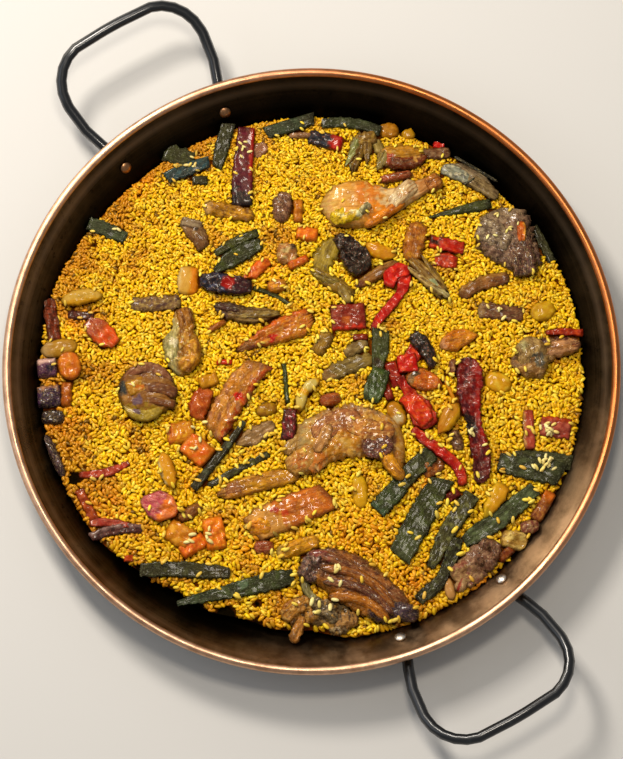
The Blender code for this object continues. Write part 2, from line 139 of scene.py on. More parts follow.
def hangLamp(name, turn, out, height, size, power, tone):
    across = Vector((-servingUp.y, servingUp.x, 0))
    turn = math.radians(turn)
    place = (servingUp * math.cos(turn) + across * math.sin(turn)) * out + Vector((0, 0, height))
    bpy.ops.object.light_add(type="AREA", location=place)
    lamp = named(name)
    lamp.data.size = size
    lamp.data.energy = power
    lamp.data.color = linear(tone)
    lamp.rotation_euler = place.to_track_quat("Z", "Y").to_euler()


def lightStudio():
    scene = bpy.context.scene
    scene.view_settings.view_transform = "Standard"
    world = bpy.data.worlds.new("softRoom")
    world.use_nodes = True
    world.node_tree.nodes["Background"].inputs[0].default_value = (1, 1, 1, 1)
    world.node_tree.nodes["Background"].inputs[1].default_value = studio["world"]
    scene.world = world
    for name, row in lamps.items():
        hangLamp(name, *row)


lightStudio()
say("camera and lights are up")


class Socket:
    # An output socket. Sums and products of it add their Math nodes.
    def __init__(self, finish, socket):
        self.finish, self.socket = finish, socket

    def maths(self, operation, *values):
        return self.finish.node("ShaderNodeMath", {"operation": operation}, *values)

    def __add__(self, other):
        return self.maths("ADD", self, other)

    def __sub__(self, other):
        return self.maths("SUBTRACT", self, other)

    def __rsub__(self, other):
        return self.maths("SUBTRACT", other, self)

    def __mul__(self, other):
        return self.maths("MULTIPLY", self, other)

    def __truediv__(self, other):
        return self.maths("DIVIDE", self, other)

    __radd__ = __add__
    __rmul__ = __mul__


class Finish:
    # One material. node() adds any node, first its settings and then the values or links of its sockets.
    def __init__(self, name, **shader):
        self.material = bpy.data.materials.new(name)
        self.material.use_nodes = True
        self.tree = self.material.node_tree
        self.shader = self.tree.nodes["Principled BSDF"]
        for socket, value in shader.items():
            self.set(socket.replace("_", " "), value)

    def set(self, socket, value):
        self.feed(self.shader.inputs[socket], value)

    def feed(self, target, value):
        if isinstance(value, Socket):
            self.tree.links.new(value.socket, target)
        elif isinstance(value, str):
            target.default_value = (*linear(value), 1)
        else:
            target.default_value = value

    def node(self, kind, settings=None, *values, out=0, **inputs):
        made = self.tree.nodes.new(kind)
        for key, setting in (settings or {}).items():
            if key == "stops":
                ramp = made.color_ramp
                while len(ramp.elements) < len(setting):
                    ramp.elements.new(0.5)
                for element, (place, tone) in zip(ramp.elements, setting):
                    element.position = place
                    element.color = (*(linear(tone) if isinstance(tone, str) else [tone] * 3), 1)
            else:
                setattr(made, key, setting)
        for key, value in [*enumerate(values), *inputs.items()]:
            self.feed(made.inputs[key], value)
        return Socket(self, made.outputs[out])

    def vector(self, operation, one, other, out="Value"):
        return self.node("ShaderNodeVectorMath", {"operation": operation}, one, other, out=out)

    def place(self):
        return self.node("ShaderNodeTexCoord", out="Object")

    def noise(self, scale, detail=3.0, rough=0.5, stretch=None):
        spot = self.place()
        if stretch:
            spot = self.node("ShaderNodeMapping", None, spot, Scale=stretch)
        return self.node("ShaderNodeTexNoise", None, Vector=spot, Scale=scale, Detail=detail, Roughness=rough)

    def ramp(self, value, *stops):
        return self.node("ShaderNodeValToRGB", {"stops": stops}, value)

    def mix(self, share, one, other, blend="MIX"):
        made = self.tree.nodes.new("ShaderNodeMix")
        made.data_type, made.blend_type = "RGBA", blend
        for index, value in ((0, share), (6, one), (7, other)):  # a Mix node's sockets for colours
            self.feed(made.inputs[index], value)
        return Socket(self, made.outputs[2])

    def paint(self, out="Color"):
        return self.node("ShaderNodeAttribute", {"attribute_name": "paint"}, out=out)

    def fibre(self, scale, detail=3.0, rough=0.6):
        # Noise drawn out along a piece, by the places that shapeTopping() stores on it
        lay = self.node("ShaderNodeAttribute", {"attribute_name": "lay"}, out="Vector")
        return self.node("ShaderNodeTexNoise", None, Vector=lay, Scale=scale, Detail=detail, Roughness=rough)

    def bump(self, height, distance, strength=1.0):
        self.set("Normal", self.node("ShaderNodeBump", None, Height=height, Distance=distance,
                                     Strength=strength))


pan = {  # mm and degrees
    "turns": 192, "sheet": 1.2, "baseRadius": 222.0, "floorRadii": (2, 60, 120, 170, 205), "wallSteps": 9,
    "cornerRadius": 12.0, "cornerFrom": -88, "cornerTo": -46, "cornerSteps": 7,
    "bead": 4.0, "beadFrom": 168, "beadTo": -112, "beadSteps": 22, "smoothUnder": 35,
}
steel = {  # colours, and how strongly each shows
    "dark": "20180a", "bronze": "5c4526", "copper": "a08058", "soot": "0e0a06", "gleam": "d0ac86",
    "rimHighlightWarm": "dcb090", "rimHighlightCopper": "c8743c", "worn": "8a5c3c", "copperMottle": 0.6, "copperBrush": 0.35,
    "clouding": 0.35, "sooting": 0.75, "gleamLeast": 0.48, "gleamMottle": 0.5, "ringLeast": 0.2,
    "ringFarSide": 0.25, "farShading": 0.82, "rimHighlighting": 0.9, "wearing": 0.5, "rough": 0.26, "roughMottle": 0.14,
    "roughCloud": 0.1, "brushDepth": 0.6, "depth": 0.0003, "strength": 0.25,
}


def ringProfile():
    # (radius, height) in mm: out over the floor, up the wall, round the bead, down outside and back below
    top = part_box("pan")[1].z / mm
    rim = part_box("pan")[1].y / mm
    bead = (rim - pan["bead"], top - pan["bead"])
    corner = (pan["baseRadius"], pan["cornerRadius"])

    def bend(centre, radius, start, end, count):
        angles = np.radians(np.linspace(start, end, count))
        return [(centre[0] + radius * math.cos(a), centre[1] + radius * math.sin(a)) for a in angles]

    inside = bend(corner, pan["cornerRadius"] - pan["sheet"], pan["cornerFrom"], pan["cornerTo"],
                  pan["cornerSteps"])
    outside = bend(corner, pan["cornerRadius"], pan["cornerTo"], pan["cornerFrom"], pan["cornerSteps"])
    roll = bend(bead, pan["bead"], pan["beadFrom"], pan["beadTo"], pan["beadSteps"])
    wallStart, wallEnd = np.array(outside[0]), np.array(roll[-1])
    climb = wallEnd - wallStart
    inward = np.array([-climb[1], climb[0]])
    inward *= pan["sheet"] / np.linalg.norm(inward)
    wall = [tuple(wallStart + climb * f) for f in np.linspace(0, 1, pan["wallSteps"])]
    innerWall = [tuple(np.array(p) + inward) for p in wall[1:]]
    floor = [(r, pan["sheet"]) for r in pan["floorRadii"]]
    below = [(r, 0.0) for r in reversed(pan["floorRadii"])]
    return floor + inside + innerWall + roll + wall[-2:0:-1] + outside + below


def turnRings(name, profile, steps):
    # A ring of edges drawn out along the profile, as on a wheel, and closed in the middle at both ends
    deselectAll()
    bpy.ops.mesh.primitive_circle_add(vertices=steps, radius=profile[0][0] * mm, fill_type="NGON",
                                      location=(0, 0, profile[0][1] * mm))
    made = named(name)
    bpy.ops.object.transform_apply(location=True, rotation=True, scale=True)
    bpy.ops.object.mode_set(mode="EDIT")
    bpy.ops.mesh.select_all(action="SELECT")
    bpy.ops.mesh.delete(type="ONLY_FACE")
    bpy.ops.mesh.select_all(action="SELECT")
    for (r, z), (nextR, nextZ) in zip(profile, profile[1:]):
        bpy.ops.mesh.extrude_edges_move(TRANSFORM_OT_translate={"value": (0, 0, (nextZ - z) * mm)})
        bpy.ops.transform.resize(value=(nextR / r, nextR / r, 1), center_override=(0, 0, nextZ * mm))
    bpy.ops.mesh.fill()
    bpy.ops.mesh.select_all(action="DESELECT")
    bpy.ops.mesh.select_non_manifold()
    bpy.ops.mesh.edge_face_add()
    bpy.ops.mesh.select_all(action="SELECT")
    bpy.ops.mesh.normals_make_consistent(inside=False)
    bpy.ops.object.mode_set(mode="OBJECT")
    bpy.ops.object.shade_smooth_by_angle(angle=math.radians(pan["smoothUnder"]))
    return made


def steelFinish():
    # Painted highlight round the rim, in a soft ring up the wall and on its lit near-right side; darker low
    # on the wall and bronze higher up; painted shade on the far side
    f = Finish("seasonedSteel", Metallic=1.0)
    place = f.place()
    climb = f.node("ShaderNodeSeparateXYZ", None, place, out=2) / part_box("pan")[1].z
    side = f.vector("DOT_PRODUCT", place, tuple(servingUp))
    turn = f.vector("DOT_PRODUCT", place, (servingUp.y, -servingUp.x, 0))
    farShade = f.ramp(side * 1.8 + turn * 0.9 + 0.5, (0.45, 0.0), (0.95, 1.0))
    litSide = f.ramp(turn * 0.98 - side * 1.56 + 0.5, (0.76, 0.0), (0.98, 1.0))
    height = f.ramp(climb, (0.0, 0.0), (0.42, 0.0), (0.72, 0.45), (0.9, 0.85), (1.0, 1.0))
    mottle = f.ramp(f.noise(30, 6, 0.68), (0.40, 0.0), (0.62, 1.0))
    cloud = f.ramp(f.noise(9, 4, 0.6), (0.35, 0.0), (0.7, 1.0))
    brushed = f.noise(1, 3, 0.6, stretch=(6, 6, 900))
    tone = f.mix(height, steel["dark"], steel["bronze"])
    tone = f.mix(mottle * height * steel["copperMottle"], tone, steel["copper"])
    brushLines = f.ramp(brushed, (0.45, 0.0), (0.62, 1.0))
    tone = f.mix(brushLines * height * steel["copperBrush"], tone, steel["copper"])
    tone = f.mix(cloud * steel["clouding"], tone, steel["dark"])
    soot = f.ramp(f.noise(110, 6, 0.75), (0.58, 0.0), (0.66, 1.0))
    tone = f.mix(soot * steel["sooting"], tone, steel["soot"])
    bright = f.ramp(climb, (0.35, 0.25), (0.75, 1.0))
    # Painted highlight: a light bronze reflection on the near right part of the wall, brighter towards the
    # rim
    gleaming = litSide * bright * (steel["gleamLeast"] + mottle * steel["gleamMottle"])
    tone = f.mix(gleaming, tone, steel["gleam"])
    # Painted highlight: a soft pale ring part way up the wall, stronger on the far side
    lip = f.ramp(climb, (0.66, 0.0), (0.74, 1.0), (0.82, 0.0))
    tone = f.mix(lip * (steel["ringLeast"] + farShade * steel["ringFarSide"]), tone, steel["gleam"])
    rimGlow = f.ramp(climb, (0.90, 0.0), (0.97, 1.0))
    # Painted shade: the far side of the wall, which faces away from the key light, is darkened in the soot
    # colour, all but the rim
    tone = f.mix(farShade * steel["farShading"] * (1 - rimGlow), tone, steel["soot"])
    worn = f.ramp(f.noise(70, 5, 0.7), (0.42, 0.0), (0.66, 1.0))
    # Painted highlight on the rolled rim: pale cream on one side, copper on the other, with random worn
    # patches
    bare = f.mix(f.ramp(turn + side * 0.6, (0.02, 0.0), (0.22, 1.0)), steel["rimHighlightWarm"], steel["rimHighlightCopper"])
    tone = f.mix(rimGlow * steel["rimHighlighting"], tone, f.mix(worn * steel["wearing"], bare, steel["worn"]))
    f.set("Base Color", tone)
    f.set("Roughness", steel["rough"] + mottle * steel["roughMottle"] + cloud * steel["roughCloud"])
    f.bump(f.noise(240, 4, 0.6) + brushed * steel["brushDepth"], steel["depth"], steel["strength"])
    return f.material


def makePan():
    shell = turnRings("panSteel", ringProfile(), pan["turns"])
    shell.data.materials.append(steelFinish())
    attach(shell, "root")
    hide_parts("pan")


makePan()
say("pan is turned")


rod = {"black": "0b0d10", "worn": "2a2f34", "wearing": 0.6, "rough": 0.28, "uneven": 0.18, "smoothUnder": 50}
rivet = {  # clean and dirty metal. The right pair is painted lighter, as lit, and the left pair darker, as in shade
    "right": ("e6ddd0", "8a7a68"), "left": ("b08058", "3a2a1e"), "dirt": 0.7, "rough": 0.28, "uneven": 0.25,
}


def rodFinish():
    f = Finish("blackRod", Metallic=0.35, Coat_Weight=0.6, Coat_Roughness=0.12, IOR=1.5)
    wear = f.ramp(f.noise(90, 5, 0.65), (0.58, 0.0), (0.72, 1.0))
    f.set("Base Color", f.mix(wear * rod["wearing"], rod["black"], rod["worn"]))
    f.set("Roughness", rod["rough"] + f.noise(60, 3) * rod["uneven"])
    f.bump(f.noise(300, 3), 0.0002, 0.3)
    return f.material


def rivetFinish(side):
    f = Finish("rivetMetal_" + side, Metallic=1.0)
    dirt = f.ramp(f.noise(160, 4, 0.7), (0.4, 0.0), (0.7, 1.0))
    # Painted light and shade: one metal, lighter for the right pair and darker for the left
    f.set("Base Color", f.mix(dirt * rivet["dirt"], *rivet[side]))
    f.set("Roughness", rivet["rough"] + dirt * rivet["uneven"])
    return f.material


def softCopy(node, name, rounds):
    # The node's own shape: its doubles are merged, and its facets are rounded off by that many subdivisions
    made = bpy.data.objects.new(name, nodes[node].data.copy())
    bpy.context.scene.collection.objects.link(made)
    selectOnly(made)
    made.data.materials.clear()
    bpy.ops.object.mode_set(mode="EDIT")
    bpy.ops.mesh.select_all(action="SELECT")
    bpy.ops.mesh.remove_doubles(threshold=0.00001)
    bpy.ops.mesh.tris_convert_to_quads()
    bpy.ops.object.mode_set(mode="OBJECT")
    if rounds:
        fine = made.modifiers.new("fine", "SUBSURF")
        fine.levels = fine.render_levels = rounds
        bpy.ops.object.modifier_apply(modifier="fine")
    bpy.ops.object.shade_smooth_by_angle(angle=math.radians(rod["smoothUnder"]))
    return made


def makeHandles():
    finish = rodFinish()
    for side in ("right", "left"):
        metal = rivetFinish(side)
        bar = softCopy("handle_" + side, "rod_" + side, 0)
        bar.data.materials.append(finish)
        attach(bar, "root")
        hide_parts("handle_" + side)
        for end in "ab":
            head = softCopy(f"rivet_{side}_{end}", f"rivetHead_{side}_{end}", 1)
            head.data.materials.append(metal)
            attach(head, "root")
            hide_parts(f"rivet_{side}_{end}")


makeHandles()
say("handles and rivets are on")


def makeFloor():
    deselectAll()
    bpy.ops.mesh.primitive_plane_add(size=studio["floorSize"], location=(0, 0, -studio["floorDrop"]))
    floor = named("floor")
    f = Finish("paleFloor", Roughness=studio["floorRough"], Base_Color=studio["floor"])
    floor.data.materials.append(f.material)


makeFloor()


def turned(points, turn):
    c, s = math.cos(turn), math.sin(turn)
    return np.column_stack([points[:, 0] * c - points[:, 1] * s, points[:, 0] * s + points[:, 1] * c])


def toServing(points):
    return np.column_stack([turned(points, -servingTurn), points[:, 2]])


def fromServing(points):
    return np.column_stack([turned(points, servingTurn), points[:, 2]])


def lieOf(node):
    # Where a CAD topping lies, in mm in the serving's frame: middle, heading, length, width, bottom, top
    points = toServing(coordinates(nodes[node].data)) / mm
    best = None
    for degrees in range(-89, 91):
        turn = math.radians(degrees)
        along = points[:, 0] * math.cos(turn) + points[:, 1] * math.sin(turn)
        across = points[:, 1] * math.cos(turn) - points[:, 0] * math.sin(turn)
        if best is None or np.ptp(across) < best[0]:
            best = (np.ptp(across), turn, (along.max() + along.min()) / 2, (across.max() + across.min()) / 2,
                    np.ptp(along))
    width, turn, a, b, length = best
    x, y = a * math.cos(turn) - b * math.sin(turn), a * math.sin(turn) + b * math.cos(turn)
    box = (points[:, 0].min(), points[:, 1].min(), np.ptp(points[:, 0]), np.ptp(points[:, 1]))
    return {"x": x, "y": y, "turn": turn, "length": length, "width": width,
            "low": points[:, 2].min(), "high": points[:, 2].max(), "box": box}


def lineThrough(points, share):
    # A smooth line through points: share 0 to 1 along it gives places and directions
    knots = np.array(points, float)
    knots = np.vstack([2 * knots[0] - knots[1], knots, 2 * knots[-1] - knots[-2]])
    spans = len(knots) - 3
    f = np.clip(share, 0, 1) * spans
    i = np.minimum(f.astype(int), spans - 1)
    t = (f - i)[:, None]
    a, b, c, d = knots[i], knots[i + 1], knots[i + 2], knots[i + 3]
    bend, twist = 2 * a - 5 * b + 4 * c - d, 3 * b - a - 3 * c + d
    place = 0.5 * (2 * b + (c - a) * t + bend * t ** 2 + twist * t ** 3)
    slope = 0.5 * ((c - a) + 2 * bend * t + 3 * twist * t ** 2)
    return place, slope / np.linalg.norm(slope, axis=1)[:, None]


def edgeLine(values, share, soft):
    # The half width at each place along, from values evenly spaced from end to end
    f = (np.clip(share, -1, 1) + 1) / 2 * (len(values) - 1)
    i = np.minimum(f.astype(int), len(values) - 2)
    t = f - i
    t = t * t * (3 - 2 * t) * soft + t * (1 - soft)
    values = np.array(values, float)
    return values[i] * (1 - t) + values[i + 1] * t


def wallLine():
    # Heights and radii in mm up the inner side of the pan's wall
    line = [point for point in ringProfile() if point[0] >= pan["floorRadii"][-1]]
    climb = line[:next(k for k in range(1, len(line)) if line[k][1] < line[k - 1][1])]
    radii, heights = np.array(climb).T
    return heights, radii


wallHeights, wallRadii = wallLine()


def insideWall(points, gap=0.5):
    # Presses what would stand through the pan's wall back inside it
    radius = np.hypot(points[:, 0], points[:, 1])
    limit = np.interp(points[:, 2], wallHeights, wallRadii) - gap
    keep = np.minimum(1, limit / np.maximum(radius, 1e-6))
    return np.column_stack([points[:, :2] * keep[:, None], points[:, 2]])


def blankSlab(name, along, across):
    # A fine flat slab, two units on each side, drawn out from a grid
    deselectAll()
    bpy.ops.mesh.primitive_grid_add(x_subdivisions=along, y_subdivisions=across, size=2, location=(0, 0, 0))
    made = named(name)
    bpy.ops.object.mode_set(mode="EDIT")
    bpy.ops.mesh.select_all(action="SELECT")
    bpy.ops.mesh.extrude_region_move(TRANSFORM_OT_translate={"value": (0, 0, 1)})
    bpy.ops.mesh.select_all(action="SELECT")
    bpy.ops.mesh.normals_make_consistent(inside=False)
    bpy.ops.object.mode_set(mode="OBJECT")
    return made


slab = {  # what a topping has unless its kind or its own row says otherwise
    "line": None, "bow": 0.0, "bowSide": 0.6, "hi": [1, 1], "lo": [-1, -1], "cut": (0, 0), "dome": 1.8,
    "seed": 1, "rough": 1.0, "grain": 1.0, "ragged": 0.07, "raggedSize": 14, "raggedFine": 5,
    "fineShare": 0.6, "fringe": 0.0, "fringeSize": 6, "drawn": 0.16, "apart": 3.7, "smoothUnder": 65,
}
shapes = {  # round: 0 square corners, 1 oval. flat: how level the top is. lip: how thick its edge is
    "pod": {"round": 0.04, "flat": 14.0, "lip": 0.55, "pitch": 1.2, "rise": 1.9, "drop": 2.0, "soft": 0.3,
            "tint": (0.52, 0.54, 0.28)},
    "bean": {"round": 1.0, "flat": 2.4, "lip": 0.10, "pitch": 1.2, "rise": 4.6, "drop": 4.0, "soft": 1.0,
             "tint": (0.72, 0.64, 0.60)},
    "strip": {"round": 0.2, "flat": 7.0, "lip": 0.45, "pitch": 1.1, "rise": 2.6, "drop": 1.6, "soft": 1.0,
              "tint": (0.72, 0.52, 0.40)},
    "chunk": {"round": 0.3, "flat": 4.5, "lip": 0.35, "pitch": 1.2, "rise": 5.0, "drop": 4.0, "soft": 0.4,
              "tint": (0.80, 0.74, 0.34)},
    "leafy": {"round": 0.45, "flat": 3.0, "lip": 0.25, "pitch": 1.0, "rise": 5.0, "drop": 4.0, "soft": 0.8,
              "tint": (0.74, 0.66, 0.44)},
    "meat": {"round": 0.7, "flat": 2.8, "lip": 0.15, "pitch": 1.2, "rise": 8.0, "drop": 7.0, "soft": 1.0,
             "tint": (0.95, 0.84, 0.55)},
}


def podRelief(g, seed):
    seam = 0.35 * np.exp(-((np.abs(g["v"]) - 0.9) / 0.08) ** 2)  # raised near both edges
    wrinkle = 0.12 * ripple(np.column_stack([g["a"] / 9, g["b"] / 1.4]), 1.5, seed)
    swell = 0.25 * np.cos(g["a"] / 5 + seed) * (1 - g["v"] ** 2)  # over the seeds
    wave, pore = 0.3 * ripple(g["flatXY"], 18, seed + 1), 0.10 * ripple(g["flatXY"], 1.8, seed)
    return seam + wrinkle + swell + wave + pore


def beanRelief(g, seed):
    away = g["v"] - 0.2 * ripple(g["flatXY"], 15, seed)
    crease = np.exp(-(away / 0.12) ** 2) * (np.abs(g["u"]) < 0.7)
    return 0.3 * ripple(g["flatXY"], 8, seed) - 0.35 * crease


def stripRelief(g, seed):
    curl = 1.5 * g["v"] ** 4  # its sides curl up
    return curl + 1.0 * ripple(g["flatXY"], 12, seed) + 0.3 * ripple(g["flatXY"], 5.0, seed + 1)


def chunkRelief(g, seed):
    return 1.0 * ripple(g["flatXY"], 11, seed) + 0.3 * ripple(g["flatXY"], 5.0, seed + 1)


def leafyRelief(g, seed):
    # Leaves lie over one another in steps, each with its veins
    bent = g["b"] / 3.4 + 0.5 * g["u"] ** 2 + 0.25 * np.sin(g["u"] * 3 + seed)
    step = bent - np.floor(bent)
    vein = 0.25 * ripple(np.column_stack([g["a"] / 7, g["b"] / 1.1]), 1.3, seed)
    return 0.35 * (step - 0.5) + 0.3 * vein + 0.6 * ripple(g["flatXY"], 14, seed + 1)


def meatRelief(g, seed):
    bent = g["b"] + 2.0 * ripple(g["flatXY"], 22, seed + 5)
    fibre = 0.16 * ripple(np.column_stack([g["a"] / 10, bent / 1.6]), 1.5, seed)
    lump = 1.6 * ripple(g["flatXY"], 20, seed + 1) + 0.5 * ripple(g["flatXY"], 8, seed + 2)
    fold = ripple(np.column_stack([g["a"] / 2, bent]), 11, seed + 3)
    return fibre + lump - 1.6 * np.exp(-(fold / 0.10) ** 2)


reliefs = {"pod": podRelief, "bean": beanRelief, "strip": stripRelief, "chunk": chunkRelief,
           "leafy": leafyRelief, "meat": meatRelief}


brush = {  # how the edges of the colours wander and fade, in shares of a piece or in mm, and the painted shade at a piece's edge
    "waverAlong": 0.12, "waverAcross": 0.15, "waverSize": 7, "patchFade": 0.35, "lineLength": 9,
    "lineFade": 0.6, "spotWaver": 1.2, "spotWaverSize": 6, "spotCore": 0.7, "spotReach": 1.15,
    "richer": 1.22, "seatShade": 0.45, "seatFrom": 0.78,
}


def layPaint(g, rules, seed):
    # The first rule is the ground colour. Each later one lays its colour where it says
    colour = np.tile(linear(rules[0]), (len(g["u"]), 1))
    for count, (where, *rest) in enumerate(rules[1:]):
        tone, share = rest[-1], 1.0
        if isinstance(tone, tuple):
            tone, share = tone
        if where == "along":
            waver = brush["waverAlong"] * ripple(g["flatXY"], brush["waverSize"], seed + count)
            mask = ramped(g["u"] + waver, rest[0], rest[1])
        elif where == "across":
            waver = brush["waverAcross"] * ripple(g["flatXY"], brush["waverSize"], seed + count)
            mask = ramped(g["v"] + waver, rest[0], rest[1])
        elif where == "patch":
            cloud = ripple(g["flatXY"], rest[0], seed * 3 + count)
            mask = smooth(cloud, rest[1], rest[1] + brush["patchFade"])
        elif where == "lines":
            drawn = np.column_stack([g["a"] / brush["lineLength"], g["b"]])
            mask = smooth(ripple(drawn, rest[0], seed * 5 + count), 0.0, brush["lineFade"])
        elif where == "spot":
            waver = brush["spotWaver"] * ripple(g["flatXY"], brush["spotWaverSize"], seed + count)
            away = np.hypot(g["a"] - rest[0], g["b"] - rest[1]) + waver
            mask = 1 - smooth(away, rest[2] * brush["spotCore"], rest[2] * brush["spotReach"])
        elif where == "rim":
            mask = smooth(g["edge"], rest[0], 1.0)
        colour += (linear(tone) - colour) * (mask * share)[:, None]
    grey = colour.mean(axis=1)[:, None]
    # Painted shade: every piece darkens towards its edge, where it sits in the rice
    paintedContactShade = 1 - brush["seatShade"] * smooth(g["edge"], brush["seatFrom"], 1.0)
    return np.clip(grey + (colour - grey) * brush["richer"], 0, 1) * paintedContactShade[:, None]


def ramped(values, low, high):
    # As smooth(), and it may also fall from low down to high
    return smooth(values, low, high) if high > low else smooth(-values, -low, -high)


def store(mesh, name, kind, rows):
    layer = mesh.attributes.new(name, kind, "POINT")
    layer.data.foreach_set("color" if kind == "FLOAT_COLOR" else "vector", rows.astype(np.float32).ravel())


def storePaint(mesh, colour, grain=1.0):
    # The fourth channel says how strongly the finish's own flecks and fibres show
    store(mesh, "paint", "FLOAT_COLOR", np.column_stack([colour, np.full(len(colour), grain)]))


def shapeTopping(name, kind, lie, rules, **extra):
    s = {**slab, **shapes[kind], **extra}
    length, width = lie["length"], lie["width"]
    made = blankSlab(name, max(8, int(length / s["pitch"])), max(6, int(width / s["pitch"])))
    points = coordinates(made.data)
    u, v = points[:, 0], points[:, 1]
    upper = points[:, 2] > 0.5
    edge = np.maximum(np.abs(u), np.abs(v))
    dome = s["lip"] + (1 - s["lip"]) * (1 - edge ** s["flat"]) ** (1 / s["dome"])
    alongShare = u * np.sqrt(1 - s["round"] * v ** 2 / 2)
    acrossShare = v * np.sqrt(1 - s["round"] * u ** 2 / 2)
    high, low = (edgeLine(s[key], alongShare, s["soft"]) for key in ("hi", "lo"))
    reach = (high + low) / 2 + (high - low) / 2 * acrossShare
    around = np.column_stack([u * length, v * width])
    fine = s["fineShare"] * ripple(around, s["raggedFine"], s["seed"] + 3)
    reach = reach * (1 + s["ragged"] * (ripple(around, s["raggedSize"], s["seed"] + 9) + fine))
    if s["line"]:
        line, way = lineThrough(s["line"], 0.5 + 0.5 * alongShare)
    else:
        half, bow, side = length / 2, s["bow"], s["bow"] * s["bowSide"]
        local = [(-half, -bow), (-half / 3, side), (half / 3, side), (half, -bow)]
        line, way = lineThrough(local, 0.5 + 0.5 * alongShare)
        line = turned(line, lie["turn"]) + (lie["x"], lie["y"])
        way = turned(way, lie["turn"])
    side = np.column_stack([-way[:, 1], way[:, 0]])
    slant = (s["cut"][0] * (1 - alongShare) + s["cut"][1] * (1 + alongShare)) / 2 * reach * width / 2
    frayed = ripple(np.column_stack([v * width, v]), s["fringeSize"], s["seed"] + 4)
    slant = slant + s["fringe"] * alongShare ** 3 * frayed
    flatXY = line + side * (reach * width / 2)[:, None] + way * slant[:, None]
    grid = {"u": alongShare, "v": acrossShare, "a": alongShare * length / 2, "b": reach * width / 2,
            "edge": edge, "flatXY": flatXY}
    relief = reliefs[kind](grid, s["seed"]) * s["rough"]
    thick = np.sqrt(np.clip((high - low) / 2, 0.25, None))
    height = np.where(upper, s["rise"] * thick * dome + relief * dome, -s["drop"] * dome)
    place = insideWall(np.column_stack([flatXY, lie["middle"] + height]))
    reshape(made.data, fromServing(place) * mm)
    storePaint(made.data, layPaint(grid, rules, s["seed"]) * s["tint"], s["grain"])
    lay = np.column_stack([grid["a"] * s["drawn"], grid["b"], height + s["seed"] * s["apart"]]) * mm
    store(made.data, "lay", "FLOAT_VECTOR", lay)
    selectOnly(made)
    bpy.ops.object.shade_smooth_by_angle(angle=math.radians(s["smoothUnder"]))
    return made


say("shaping tools are ready")


oil = {"Coat_Roughness": 0.10, "IOR": 1.42, "Specular_IOR_Level": 0.3, "Specular_Tint": "ffe4b4"}


def foodFinish(name, rough, coat, dark, pale, mottled, streaked, depth):
    f = Finish(name, Coat_Weight=coat, **oil)
    cloud, fleck, crumb = f.noise(130, 6, 0.75), f.noise(650, 3, 0.6), f.noise(1100, 2, 0.6)
    strand, hair, share = f.fibre(420, 4, 0.7), f.fibre(1300, 3, 0.7), f.paint("Alpha")
    mottled, streaked = share * mottled, share * streaked
    tone = f.paint()
    # Dark where the bump is low: partly the food's own streaks, partly painted shade in the grooves
    for mask in (f.ramp(cloud, (0.36, 1.0), (0.60, 0.0)) * mottled,
                 f.ramp(strand, (0.38, 1.0), (0.50, 0.0)) * streaked,
                 f.ramp(hair, (0.36, 1.0), (0.48, 0.0)) * streaked * 0.6):
        tone = f.mix(mask, tone, f.mix(1.0, tone, dark, "MULTIPLY"))
    # Pale where the bump is high: partly the food's own flecks, partly painted highlight on the ridges
    for mask in (f.ramp(hair, (0.56, 0.0), (0.68, 1.0)) * streaked * 0.7,
                 f.ramp(fleck, (0.58, 0.0), (0.68, 1.0)) * mottled * 0.5):
        tone = f.mix(mask, tone, pale)
    f.set("Base Color", tone)
    f.set("Roughness", rough + cloud * 0.25 + f.ramp(crumb, (0.45, 0.0), (0.65, 0.3)))
    f.bump((strand + hair) * streaked + fleck * mottled * 0.6 + cloud * 0.7 + crumb * 0.25, depth, 0.7)
    return f.material


finishes = {  # rough, coat, dark colour of the grooves (own streaks and painted shade), pale colour of the ridges (own flecks and painted highlight), how mottled, how streaked, the grain's depth
    "pod": foodFinish("beanPod", 0.26, 0.12, "3c4430", "8c9070", 0.8, 0.4, 0.0014),
    "bean": foodFinish("beanSkin", 0.28, 0.2, "b88438", "f4d868", 0.3, 0.15, 0.0002),
    "strip": foodFinish("pepperSkin", 0.22, 0.24, "6c3038", "d87c5c", 0.45, 0.25, 0.0008),
    "chunk": foodFinish("pumpkinFlesh", 0.24, 0.3, "b06830", "f8c060", 0.4, 0.35, 0.0006),
    "leafy": foodFinish("artichokeLeaf", 0.30, 0.15, "6c5438", "c4b078", 0.4, 0.5, 0.0007),
    "meat": foodFinish("roastMeat", 0.24, 0.35, "7c4c2c", "e4c080", 0.5, 0.55, 0.0009),
}


